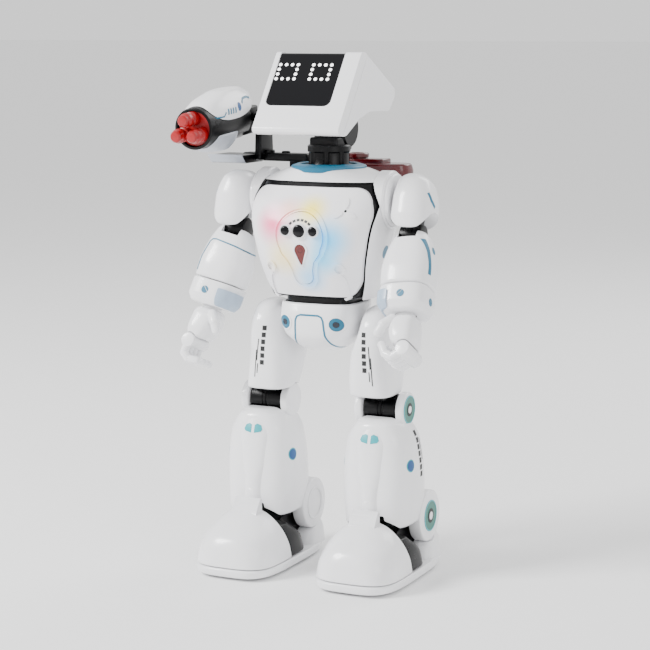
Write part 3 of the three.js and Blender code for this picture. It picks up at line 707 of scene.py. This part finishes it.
def build_pelvis():
    for name, y0, y1 in (("front", -60, HIP[0] - 0.2), ("rear", HIP[0] + 0.2, 60)):
        half = carve(pelvis_form(), [pelvis_form(WALL, high=6)],
                     [block(-40, 40, y0, y1, 150, 200)])
        piece(f"pelvis_{name}_skin", half, ROBOT, "torso", "white",
              f"pelvis_{name}_shell", edge=0.4)
    arch = ARCH + [(-u, v) for u, v in reversed(ARCH)]
    line = carve(pelvis_form(-0.2), within=[plate(ribbon(arch, 1.3), -60, -8)])
    piece("pelvis_arch_line", line, ROBOT, "torso", "teal")
    for side, place in SIDES.items():
        for name, grow, outer, inner, finish in (
                ("rim", -0.5, 6.1, 4.9, "white"), ("ring", -0.3, 4.9, 0, "teal"),
                ("pupil", -0.5, 2.2, 0, "navy")):
            minus = [plate(circle(20, 182.6, inner), -60, 0)] if inner else []
            part = carve(pelvis_form(grow), minus, [plate(circle(20, 182.6, outer), -60, -20)])
            piece(f"pelvis_eye_{name}_{side}", part, place, "torso", finish, edge=0.25)


# ---- head and neck --------------------------------------------------------------------------
FACE_LOW = (-57, 320.5)
FACE_HIGH = (-17, 373)
FACE_LENGTH = math.dist(FACE_LOW, FACE_HIGH)
FACE_LEAN = math.degrees(math.atan2(FACE_HIGH[0] - FACE_LOW[0], FACE_HIGH[1] - FACE_LOW[1]))
FACE = shift(0, *FACE_LOW) @ turn("X", -FACE_LEAN)
HEAD_HALF = 33
HEAD_SIDE = [FACE_LOW, (-55, 317.5), (-47, 316), (-10, 321), (32, 331), (42, 340.5),
             (42, 346.5), (-6, 370.5), (-10, 373), FACE_HIGH]
NOTCH = [(-46, 300), (-46, 315), (-21, 327), (-3, 331.5), (32, 331), (38, 300)]
SCREEN_SHIFT = -4.2
SCREEN_HALF = 25
EYES_SHIFT = -7.2
EYE_HALF_GAP = 12.9
DOT_PITCH = (4.65, 4.05)
DOT_ROW = 43.4


def head_form(inset=0.0):
    bm = plate(HEAD_SIDE, -HEAD_HALF, HEAD_HALF, "x", corner=3.2)
    rounded(bm, 4.6, segments=6, above=60)
    if inset:
        for vert in bm.verts:
            vert.co -= vert.normal * inset
    return bm


def face_plate(outline, front, back, corner=0.0, edge=0.0):
    return moved(plate(outline, front, back, corner=corner, edge=edge), FACE)


def notch():
    return plate(NOTCH, -50, 50, "x")


def build_head():
    screen = rectangle(SCREEN_SHIFT - SCREEN_HALF, SCREEN_SHIFT + SCREEN_HALF,
                       20, FACE_LENGTH + 12)
    front = carve(head_form(), [face_plate(screen, -20, 12, corner=5), notch()],
                  [face_plate(rectangle(-60, 60, -40, 120), -20, 9)])
    piece("head_front_skin", front, ROBOT, "head", "white", "head_front_shell", edge=0.7)
    rear = carve(head_form(), [notch()],
                 [face_plate(rectangle(-60, 60, -60, 160), 9.3, 140)])
    piece("head_rear_skin", rear, ROBOT, "head", "white", "head_rear_shell", edge=0.5)
    grown = [(u + math.copysign(0.2, u - SCREEN_SHIFT), v) for u, v in screen]
    glass = carve(head_form(0.9), within=[face_plate(grown, -20, 8, corner=5)])
    piece("face_screen_skin", glass, ROBOT, "head", "smoke", "face_screen", edge=0.3)
    dots = []
    for eye in (-1, 1):
        for column in range(4):
            for row in range(4):
                if {column, row} <= {1, 2}:
                    continue
                u = EYES_SHIFT + eye * EYE_HALF_GAP + (column - 1.5) * DOT_PITCH[0]
                v = DOT_ROW + row * DOT_PITCH[1]
                dots.append(bar("y", 1.25, 0.55, 1.4, u, v, edge=0.2, sides=20))
    piece("eye_dots", moved(joined(*dots), FACE), ROBOT, "head", "led")


def build_neck():
    flutes = []
    for step in range(8):
        around = step / 8 * 2 * math.pi + 0.3
        spot = (15.6 * math.cos(around), 15.6 * math.sin(around))
        flutes.append(bar("z", 2.4, 294, 303, *spot, sides=20))
    post = lathe("z", [(0.01, 287), (14.5, 287), (14.5, 289.6), (18.2, 289.6), (18.8, 290.2),
                       (18.8, 292.6), (18.2, 293.2), (15, 293.6), (14.6, 294.4), (14.6, 302),
                       (15.4, 303), (15.4, 306.6), (14.4, 307.6), (0.01, 307.6)])
    cradle = carve(block(-11, 11, -10, 16, 303, 313, edge=1.5),
                   [bar("x", 13.8, -30, 30, TILT_Y, TILT_Z)])
    piece("neck_post_skin", joined(carve(post, flutes), cradle), ROBOT, "neck", "black",
          "neck_post", edge=0.3)
    barrel = lathe("x", [(0.01, -12), (12.4, -12), (13.5, -10.8), (13.5, -4), (12.9, -3.4),
                         (12.9, 3.4), (13.5, 4), (13.5, 10.8), (12.4, 12), (0.01, 12)],
                   TILT_Y, TILT_Z)
    piece("tilt_barrel_skin", barrel, ROBOT, "head", "black", "tilt_barrel")


# ---- arms: shaped as the left arm; the right one is its mirror image --------------------------
UPPER_ARM = [
    [17, -9, 5, -12, 8, 2.2],
    [11, -13.5, 10.5, -19, 14, 2.3],
    [-3, -15.4, 15, -22, 16.5, 2.4],
    [-14, -15.2, 15.6, -22, 15.5, 2.4],
    [-22, -13, 14.6, -19, 13, 2.4],
    [-25.5, -10, 12, -14, 9, 2.2],
]
FOREARM = [
    [3, -9, 9, -9, 9, 2.4],
    [-4, -13, 14, -13, 13.5, 2.6],
    [-18, -17, 17.5, -17, 17.5, 2.8],
    [-30, -18.5, 18.5, -18.5, 18.5, 3],
    [-41.5, -18, 18, -18, 18, 3],
]
CUFF = [
    [-42.2, -18, 18, -18, 18, 3.2],
    [-54, -17.5, 18, -18, 17.5, 3.4],
    [-60, -14, 15.5, -15, 15, 3],
]
PALM = [
    [-1, -9, 9, -9, 9, 2.6],
    [-6, -10, 10.5, -12.5, 12.5, 3],
    [-17, -8, 10.5, -14, 14, 3.4],
    [-24, -5, 9, -13, 13, 3],
]
ARM_LINE = [(14.6, -38), (14, -27), (12, -15.6), (10.4, -13.4), (7, -12.8), (-9.5, -14.2),
            (-18, -15.4)]
ARM_STRIPE = [(-10.8, -7.6), (-9, -16.9), (-8.4, -24.4), (-8.2, -34)]


def upper_arm_form(inset=0.0):
    return form(UPPER_ARM, inset, rows=44, sides=64, rim=2.5)


def forearm_form(inset=0.0):
    return form(FOREARM, inset, rim=2, rows=44, sides=64)


def cuff_form(inset=0.0):
    return form(CUFF, inset, rim=1.2, rows=34, sides=64)


def build_shoulder(side):
    rings = lathe("x", [(3.6, 42), (19.6, 42), (20.5, 43), (20.5, 50.4), (19.6, 51.5),
                        (18.6, 51.6), (18.5, 53.2), (17.6, 54), (3.6, 54)],
                  SHOULDER_Y, SHOULDER_Z)
    ring = carve(rings, [torso_form(-0.3)])
    piece(f"shoulder_ring_skin_{side}", ring, SIDES[side], "torso", "white",
          f"shoulder_ring_{side}")


def build_upper_arm(side):
    place = arm_place(side)
    arm = carve(upper_arm_form(),
                [bar("x", ELBOW_CUT, -30, 30, 0, -ELBOW_DROP), bar("x", 3.4, -20, -8)])
    piece(f"upper_arm_skin_{side}", arm, place, f"arm_{side}", "white",
          f"upper_arm_{side}", edge=0.8)
    elbow = joined(bar("x", 8.5, -8, 8, 0, -ELBOW_DROP, edge=1),
                   block(-5, 5, -5, 5, -ELBOW_DROP + 3, -7, edge=0.6))
    piece(f"elbow_skin_{side}", elbow, place, f"arm_{side}", "black", f"elbow_{side}")
    stripe = plate(ribbon([(-13.5, 2.4), (-10.6, -2.4), (-5.4, -6)], 2.4), 4, 30, "x")
    piece(f"arm_stripe_{side}", carve(upper_arm_form(-0.2), within=[stripe]), place,
          f"arm_{side}", "teal")


def build_forearm(side):
    place, body = forearm_place(side), f"forearm_{side}"
    barrel = bmesh.new()
    bmesh.ops.create_uvsphere(barrel, u_segments=32, v_segments=20, radius=12.2)
    forearm = carve(forearm_form(), [barrel, block(-7, 7, -20, 20, -6, 20)])
    piece(f"forearm_skin_{side}", forearm, place, body, "white", body, edge=0.6)
    cuff = carve(cuff_form(), [bar("z", 7.5, -70, -56)])
    piece(f"cuff_skin_{side}", cuff, place, body, "white", f"cuff_{side}", edge=0.4)
    if side == "right":
        line = plate(ribbon(ARM_LINE, 1.0), -30, -4)
        inner = plate(ribbon([(-11, -15), (0, -15.2), (12, -14.6)], 1.0), -30, -8, "x")
        skin = carve(forearm_form(-0.2), within=[joined(line, inner)])
    else:
        skin = carve(forearm_form(-0.25), within=[plate(ribbon(ARM_STRIPE, 3.2), 2, 30, "x")])
    piece(f"forearm_line_{side}", skin, place, body, "teal")
    disc = carve(cuff_form(-0.35), [plate(ribbon([(-1.2, -52), (2.8, -48)], 0.6), -30, 0)],
                 [plate(circle(1.6, -50.4, 2.7), -30, -10)])
    piece(f"cuff_disc_{side}", disc, place, body, "teal", edge=0.15)
    # The cuff's raised block is white; its blue-grey finish is painted shade, for the shadow on the
    # cuff's inner side.
    block_form = form(CUFF, -1.3, rim=1.5, rows=34, sides=64)
    guard = carve(block_form, within=[block(-24, -8.5, -24, 5, -59.4, -46.5, edge=1.2)])
    piece(f"cuff_guard_{side}", guard, place, body, "shade", edge=0.5)
    outer = carve(forearm_form(-0.25), within=[plate(circle(-1, -13, 2.6), 4, 30, "x")])
    piece(f"forearm_disc_{side}", outer, place, body, "teal")
    low = carve(cuff_form(-0.25), within=[plate(circle(-2, -52, 2.8), 4, 30, "x")])
    piece(f"cuff_side_disc_{side}", low, place, body, "teal")


def build_hand(side):
    place = hand_place(side)
    palm = form(PALM, rim=2.5, rows=34, sides=48)
    knuckle_space = bar("y", 6.2, -20, 20, KNUCKLE_X, KNUCKLE_Z)
    hand = carve(palm, [knuckle_space])
    thumb = [capsule((-6, -9, -5), (-11, -12, -9.5), 3.9),
             capsule((-11, -12, -9.5), (-14.5, -11.5, -15), 3.5)]
    stem = bar("z", 7, -2, 6, edge=0.8)
    piece(f"hand_skin_{side}", joined(hand, stem, *thumb), place, f"hand_{side}", "white",
          f"hand_{side}", edge=0.4)
    fingers = [bar("y", 5.4, -13.2, 13.2, edge=1)]
    for step in range(4):
        y = (step - 1.5) * 6.6
        fingers.append(capsule((0.6, y, -1), (1, y, -9.6), 3.15))
        fingers.append(capsule((1, y, -9.6), (-3.6, y, -13), 3.1))
        fingers.append(capsule((-3.6, y, -13), (-11, y, -12.6), 2.9))
    piece(f"fingers_skin_{side}", joined(*fingers), fingers_place(side), f"fingers_{side}",
          "white", f"fingers_{side}")


# ---- legs: shaped as the left leg; the right one is its mirror image ---------------------------
THIGH = [
    [194.5, 37, 49, -13, 9, 2.2],
    [190, 33, 52.5, -20, 15, 2.5],
    [180, 31, 54.5, -26, 21, 2.8],
    [156, 23.8, 56, -28, 25, 3],
    [145, 23.5, 56.5, -28, 19, 3],
    [131, 25, 57, -27, 10, 3.4],
]
SHIN = [
    [116, 34, 59, -25, 8, 2.4],
    [111, 28, 65, -29, 14, 2.5],
    [98, 22, 71, -31, 18, 2.8],
    [75, 20, 73, -32, 21, 3],
    [52, 20.5, 72.5, -33, 24, 3],
    [38, 22, 71, -33, 24, 3],
]
TOE = [
    [8.6, 16.5, 78.5, -75, 0, 3.4],
    [17, 17, 78, -74.5, -2, 3],
    [27, 20, 75, -71, -6, 2.7],
    [36, 26, 69, -61, -14, 2.4],
    [42, 33, 62, -51, -21, 2.2],
    [45, 40, 55, -43, -27, 2.1],
]
SOLE = [
    [0, 21.5, 73.5, -69, 37, 3.6],
    [3, 16, 79, -75, 41, 4],
    [8, 15.5, 79.5, -76, 42, 4],
]
HEEL = [
    [6, 18, 77, 6, 41, 4],
    [17, 19.5, 75.5, 10, 40.5, 4],
    [27, 27, 68, 35, 39.5, 3],
]
INSERT = [
    [8.6, 17.5, 77.5, -40, 4.8, 4],
    [19, 19, 76, -40, 3, 3.6],
    [32.4, 24, 71, -40, -15, 3],
]
TONGUE = [(-50, 33.2), (-46.5, 43), (-42, 50), (-38.6, 53.4), (-36.8, 51.6), (-36.8, 33.2)]
SADDLE = [(-26, 12), (-24, 30), (18, 46), (26, 42), (26, 19), (23, 12)]
HUB = 12.5
ROLLER = 10.5
ANKLE_DISC = 18.8


def thigh_form(inset=0.0, **more):
    return form(THIGH, inset, rim=2, rows=46, sides=64, **more)


def build_thigh(side):
    place, body = SIDES[side], f"thigh_{side}"
    hubs = [bar("x", HUB + 0.8, 10, 33.4, KNEE_Y, KNEE_Z),
            bar("x", HUB + 0.8, 57.6, 80, KNEE_Y, KNEE_Z),
            bar("x", ROLLER + GAP, 10, 80, KNEE_Y, KNEE_Z)]
    thigh = carve(thigh_form(), [thigh_form(WALL, low=8), *hubs])
    piece(f"thigh_skin_{side}", thigh, place, body, "white", f"thigh_{side}", edge=0.6)
    ribs = [(0.01, 33), (9.6, 33), (10.5, 34), (10.5, 43.8), (9.9, 44.2), (9.9, 45), (10.5, 45.4),
            (10.5, 46.6), (9.9, 47), (9.9, 47.8), (10.5, 48.2), (10.5, 57), (9.6, 58), (0.01, 58)]
    roller = lathe("x", ribs, KNEE_Y, KNEE_Z)
    root = block(38, 50, -11, 3, KNEE_Z + 6, KNEE_Z + 24, edge=0.8)
    piece(f"knee_roller_skin_{side}", joined(roller, root), place, body, "black",
          f"knee_roller_{side}")
    marks = []
    for step in range(6):
        z = 176 - step * 5
        marks.append(plate(rectangle(37.4 + step * 0.3, 40.6 + step * 0.3, z - 1.7, z + 1.7),
                           -60, -5))
    lines = [plate(ribbon(points, 0.7), -60, -5) for points in (
        [(43.2, 168), (44.8, 152)], [(44.9, 160), (46.6, 140)], [(43.9, 150), (44.6, 143)])]
    ink = carve(thigh_form(-0.15), within=[joined(*marks, *lines)])
    piece(f"thigh_marks_{side}", ink, place, body, "ink")


def shin_form(inset=0.0, **more):
    return form(SHIN, inset, rim=3, rows=50, sides=72, **more)


SHIN_RIDGE = [
    [112, 36, 57, -28.5, 0, 2.4],
    [98, 31, 61, -33, 0, 2.6],
    [80, 32, 60, -34, 0, 2.4],
    [62, 36, 56, -35.5, 0, 2.3],
    [46, 36, 57, -35.5, 0, 2.6],
]


def ridge_form(inset=0.0):
    return form(SHIN_RIDGE, inset, rim=2, rows=40, sides=56)


def toe_space():
    """The room that the toe dome takes in the shin."""
    return form(TOE, -3.2, low=3)


def build_shin(side):
    place, body = SIDES[side], f"shin_{side}"
    lower = plate([(-60, 0), (-60, 37), (-14, 37), (6, 24), (6, 0)], 10, 80, "x")
    foot_space = [block(31, 62, -24, 60, 10, 50), tongue_space()]
    knee_space = bar("x", 12.2, 32.6, 58.4, KNEE_Y, KNEE_Z)
    discs = [bar("x", ANKLE_DISC, 20, 30, ANKLE_Y, ANKLE_Z, edge=1.2),
             bar("x", ANKLE_DISC, 63, 73, ANKLE_Y, ANKLE_Z, edge=1.2)]
    shin = carve(shin_form(), [shin_form(WALL + 0.5, low=10), lower, toe_space()])
    shin = carve(shin, [*foot_space, knee_space], plus=discs)
    piece(f"shin_skin_{side}", shin, place, body, "white", body, edge=0.6)
    ridge = carve(ridge_form(), [shin_form(1.5), hub_space(), toe_space(), tongue_space()],
                  [block(10, 80, -60, -12, 42, 116)])
    piece(f"shin_ridge_{side}", ridge, place, body, "white", edge=0.4)
    hubs = [bar("x", HUB, 26.5, 32.6, KNEE_Y, KNEE_Z, edge=1.4),
            bar("x", HUB, 58.4, 64.5, KNEE_Y, KNEE_Z, edge=1.4)]
    piece(f"knee_hubs_{side}", joined(*hubs), place, body, "white")
    lights = []
    for sign in (-1, 1):
        lights.append(plate([(46 + sign * 1.2, 99.6), (46 + sign * 6.2, 100.6),
                             (46 + sign * 7.2, 102), (46 + sign * 6, 105), (46 + sign * 3, 106.2),
                             (46 + sign * 1.2, 105.2)][::sign], -60, -8))
    piece(f"shin_lights_{side}", carve(ridge_form(-0.25), within=[joined(*lights)]), place,
          body, "pale")
    build_shin_marks(side)
    build_hub_rings(side)


def build_shin_marks(side):
    place, body = SIDES[side], f"shin_{side}"
    for name, radius, grow, finish in (("discs", 3.8, -0.2, "blue"),
                                       ("disc_rims", 4.6, -0.1, "pale")):
        spot = circle(-17, 83, radius)
        spots = [plate(spot, 60, 80, "x"), plate(spot, 10, 30, "x")]
        piece(f"shin_{name}_{side}", carve(shin_form(grow), within=[joined(*spots)]), place,
              body, finish)
    dashes = []
    for step in range(7):
        y, z = -3.2 + step * 0.6, 104 - step * 5
        dashes.append(plate(rectangle(y - 2, y + 2, z - 1.9, z + 1.9), 50, 90, "x"))
    dashes.append(plate(ribbon([(1.2, 100), (3.6, 84)], 0.7), 50, 90, "x"))
    piece(f"shin_marks_{side}", carve(shin_form(-0.15), within=[joined(*dashes)]), place, body,
          "ink")


def hub_space():
    return bar("x", 12.4, 26, 65, KNEE_Y, KNEE_Z)


def tongue_space():
    return block(35, 58, -60, -35.4, 10, 57.5)


def build_hub_rings(side):
    place, body = SIDES[side], f"shin_{side}"
    for name, x, y, z, scale in (("knee", 64.5, KNEE_Y, KNEE_Z, 1.0),
                                 ("ankle", 73, ANKLE_Y, ANKLE_Z, 1.12)):
        for part, inner, outer, out, finish in (
                ("ring", 4.8, 9.4, 0.35, "hub"), ("core", 2.6, 4.8, 0.5, "ink"),
                ("cap", 0.01, 2.6, 0.8, "white"), ("edge", 9.4, 10.2, 0.5, "pale")):
            disc = lathe("x", [(inner * scale, x - 1), (inner * scale, x + out),
                               (outer * scale, x + out), (outer * scale, x - 1)], y, z)
            piece(f"{name}_{part}_{side}", disc, place, body, finish)
    rim = lathe("x", [(10.4, 20.5), (10.4, 19.5), (11, 19.2), (12, 19.2), (12.6, 19.6),
                      (12.6, 20.5)], ANKLE_Y, ANKLE_Z)
    piece(f"ankle_inner_rim_{side}", rim, place, body, "white")


def behind_toe(back):
    edge = [(-38 + back, 50), (-28 + back, 7), (30, 7), (30, 50)]
    return plate(edge, 10, 85, "x")


def disc_spaces():
    return [bar("x", ANKLE_DISC + 0.8, 19, 30.6, ANKLE_Y, ANKLE_Z),
            bar("x", ANKLE_DISC + 0.8, 62.4, 75, ANKLE_Y, ANKLE_Z)]


def toe_form(inset=0.0, **more):
    return form(TOE, inset, rim=1.2, rows=44, sides=72, **more)


def build_foot(side):
    place, body = SIDES[side], f"foot_{side}"
    well = block(35, 58, 11, 29, -2, 7)
    sole = carve(form(SOLE, rim=1.5, rows=30, sides=80), [well, block(31.5, 61.5, 18, 22, -2, 7)])
    heel = carve(form(HEEL, rim=1.5, rows=30, sides=64),
                 [block(31.2, 61.8, -5, 26.6, 8.4, 50), *disc_spaces()])
    piece(f"sole_skin_{side}", joined(sole, heel), place, body, "white", f"sole_{side}",
          edge=0.4)
    toe = carve(toe_form(), [toe_form(WALL, low=4), behind_toe(0)])
    tongue = plate(TONGUE, 36.5, 56.5, "x", corner=1.5, edge=3.2)
    piece(f"toe_skin_{side}", joined(toe, tongue), place, body, "white", f"toe_shell_{side}",
          edge=0.5)
    saddle = plate(SADDLE, 32, 61, "x", edge=1)
    toe_room = carve(toe_form(-0.8, low=2), [behind_toe(GAP)])
    insert = carve(form(INSERT, rim=1, rows=34, sides=64), [toe_room, *disc_spaces()],
                   plus=[saddle])
    piece(f"boot_insert_skin_{side}", insert, place, body, "black", f"boot_insert_{side}")
    wheels = joined(*[lathe("x", [(0.01, x), (2.9, x), (3.4, x + 0.6), (3.4, x + 5.4),
                                  (2.9, x + 6), (0.01, x + 6)], 20, 3.4) for x in (37, 50)])
    axle = bar("x", 1.2, 33, 60, 20, 3.4, sides=20)
    piece(f"drive_wheels_skin_{side}", joined(wheels, axle), place, f"wheels_{side}", "rubber",
          f"drive_wheels_{side}")


# ---- launcher -------------------------------------------------------------------------------
LAUNCHER_TOP = [
    [-4, -15.2, 15.2, -66, -18, 3],
    [2, -15, 15, -72, 2, 3],
    [9, -15.5, 15.5, -70, 6, 3],
    [17, -13, 13, -60, 6, 2.8],
    [23, -8, 8, -38, -4, 2.3],
]
LAUNCHER_UNDER = [
    [-19, -9, 9, -54, -28, 2.4],
    [-13, -13.5, 13.5, -64, -22, 2.8],
    [-6, -15.8, 15.8, -67, -20, 3],
]


def top_form(inset=0.0):
    return form(LAUNCHER_TOP, inset, rim=1.5, rows=40, sides=64)


def build_launcher():
    body = carve(bar("y", BORE + 2, -70, -8, edge=0.8),
                 [bar("y", BORE, -80, -44), bar("x", 3.4, 4, 30, sides=20)],
                 plus=[block(-12, 12, -14, 9, -12, 8, edge=1.5)])
    piece("launcher_body_skin", body, LAUNCHER, "launcher", "black", "launcher_body", edge=0.4)
    space = [bar("y", BORE + 2.4, -90, 20), block(-12.4, 12.4, -15, 20, -20, 8.4)]
    top = carve(top_form(), space)
    piece("launcher_top_skin", top, LAUNCHER, "launcher", "white", "launcher_top_cover",
          edge=0.6)
    under = carve(form(LAUNCHER_UNDER, rim=1.5, rows=34, sides=56),
                  [bar("y", BORE + 2.4, -90, 20)])
    piece("launcher_under_skin", under, LAUNCHER, "launcher", "grey", "launcher_under_cover",
          edge=0.5)
    drum = carve(bar("y", BORE - GAP, -68, -48, edge=0.8),
                 [bar("y", 3.4, -80, -45, *spot, sides=24) for spot in dart_spots()])
    piece("dart_drum_skin", drum, LAUNCHER, "launcher", "red", "dart_drum")
    for number, (x, z) in enumerate(dart_spots(), 1):
        outline = [(0.01, -50), (3, -50), (3, -68.4), (4.6, -68.6), (5.2, -69.4), (5.2, -74.6),
                   (4.1, -75.2), (4.1, -77), (5.2, -77.6), (5.2, -81), (4.4, -82.2),
                   (4.2, -84.6), (3.2, -85.8), (0.01, -86)]
        dart = lathe("y", [(radius, y) for radius, y in outline], x, z, steps=28)
        piece(f"dart_skin_{number}", dart, LAUNCHER, f"dart_{number}", "red",
              f"dart_{number}")
    build_launcher_marks()
    build_bracket()


def dart_spots():
    return [arc(0, 0, DART_CIRCLE, around, around, 1)[0] for around in (90, 210, 330)]


def build_launcher_marks():
    line = [plate(ribbon([(-66, 8.4), (-60, 6.6), (-50, 6.6), (-47.5, 9.4)], 1.1), 2, 30, "x")]
    for step in range(4):
        y = -44 + step * 3.6
        line.append(plate(rectangle(y - 0.8, y + 0.8, 7.2, 11.4), 2, 30, "x"))
    line.append(plate(ribbon([(-22, 13), (-18.6, 16), (-12, 16.4), (-6, 15)], 1.6), 2, 30, "x"))
    both = joined(*line)
    piece("launcher_lines", carve(top_form(-0.2), within=[both]), LAUNCHER, "launcher", "teal")
    disc = plate(ellipse(-27, 11, 2.4, 3.2), 2, 30, "x")
    piece("launcher_disc", carve(top_form(-0.25), within=[disc]), LAUNCHER, "launcher", "blue")
    dashes = [plate(rectangle(y, y + 1.3, 2.6, 4.4), 2, 30, "x") for y in (-58, -56, -54, -52)]
    piece("launcher_dashes", carve(top_form(-0.2), within=[joined(*dashes)]), LAUNCHER,
          "launcher", "ink")


def build_bracket():
    x, y, z = -83, 20, 325
    column = plate([(y - 8, 293.5), (y + 14, 293.5), (y + 11, z + 6), (y - 6, z + 6)],
                   x + 17, x + 22, "x", corner=2.5, edge=0.8)
    cradle = plate([(y - 26, 298), (y - 20, 292), (y + 8, 292), (y + 8, 298)],
                   x - 12, x + 16, "x", corner=1.2, edge=1)
    beam = block(x + 4, -26, y - 2, y + 10, 293, 299, edge=1.2)
    leg = block(-43, -26, y + 3, y + 10, 270, 295, edge=1)
    pin = bar("x", 3, x + 8, x + 19, y, z, edge=0.4)
    bosses = [bar("z", 4.4, 298, 301, -60, y + 4, edge=0.8),
              bar("z", 3.2, 298, 300.4, -46, y + 4, edge=0.8)]
    piece("launcher_bracket_skin", joined(column, cradle, beam, leg, pin, *bosses), ROBOT,
          "torso", "black", "launcher_bracket")
    trim = plate([(y - 27, 298.6), (y - 21, 292.4), (y - 19.6, 292.4), (y - 25, 298.6)],
                 x - 12, x + 16, "x", corner=0.3, edge=0.3)
    piece("bracket_trim", trim, ROBOT, "torso", "grey")


# ---- water tank -----------------------------------------------------------------------------
TANK = [
    [232, -27, 27, 35, 55, 3.5],
    [262, -36, 36, 35, 62, 3.5],
    [286, -43, 43, 35, 64, 3.5],
    [292, -42, 42, 35, 62, 3.5],
]
FILLER_Y = 49
GROOVES = (250, 258, 266, 274, 282)
GROOVE_DEPTH = 1.1


def build_tank():
    steps = block(-24, 24, 41, 57, 288, 295, edge=1)
    grooves = []
    for z in GROOVES:
        band = form([[z - 0.9, -60, 60, 20, 80, 4], [z + 0.9, -60, 60, 20, 80, 4]], rim=0.4,
                    rows=18, sides=24)
        grooves.append(carve(band, [form(TANK, GROOVE_DEPTH, rows=40, sides=64)]))
    tank = carve(form(TANK, rows=44, sides=72), grooves, plus=[steps])
    tank = carve(tank, [form(TANK, 2.4, rows=34, sides=48), bar("z", 7, 280, 310, 0, FILLER_Y)])
    piece("water_tank_skin", tank, ROBOT, "tank", "tank", "water_tank", edge=0.4)
    cap = lathe("z", [(0.01, 287), (6.6, 287), (6.6, 295.4), (8.4, 295.4), (9, 296), (9, 298.2),
                      (8.2, 299), (5, 299), (4.6, 298.2), (0.01, 298.2)], 0, FILLER_Y)
    piece("tank_cap_skin", cap, ROBOT, "cap", "tank", "tank_cap")


# ---- CAD pieces that are shown as they are ----------------------------------------------------
CAD_FINISHES = {
    "hip_axle": "steel", "shoulder_axle": "steel", "walk_gearbox": "black",
    "main_board": "board", "battery_pack": "black", "eye_light_board": "board",
}


def finish_cad():
    for name, finish in CAD_FINISHES.items():
        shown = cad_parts[name]
        shown.data.materials.clear()
        shown.data.materials.append(MATERIALS[finish])


build_camera()
build_light()
build_floor()
build_torso()
build_panel()
build_panel_relief()
build_pelvis()
build_head()
build_neck()
for side_name in ("left", "right"):
    build_shoulder(side_name)
    build_upper_arm(side_name)
    build_forearm(side_name)
    build_hand(side_name)
    build_thigh(side_name)
    build_shin(side_name)
    build_foot(side_name)
build_launcher()
build_tank()
finish_cad()
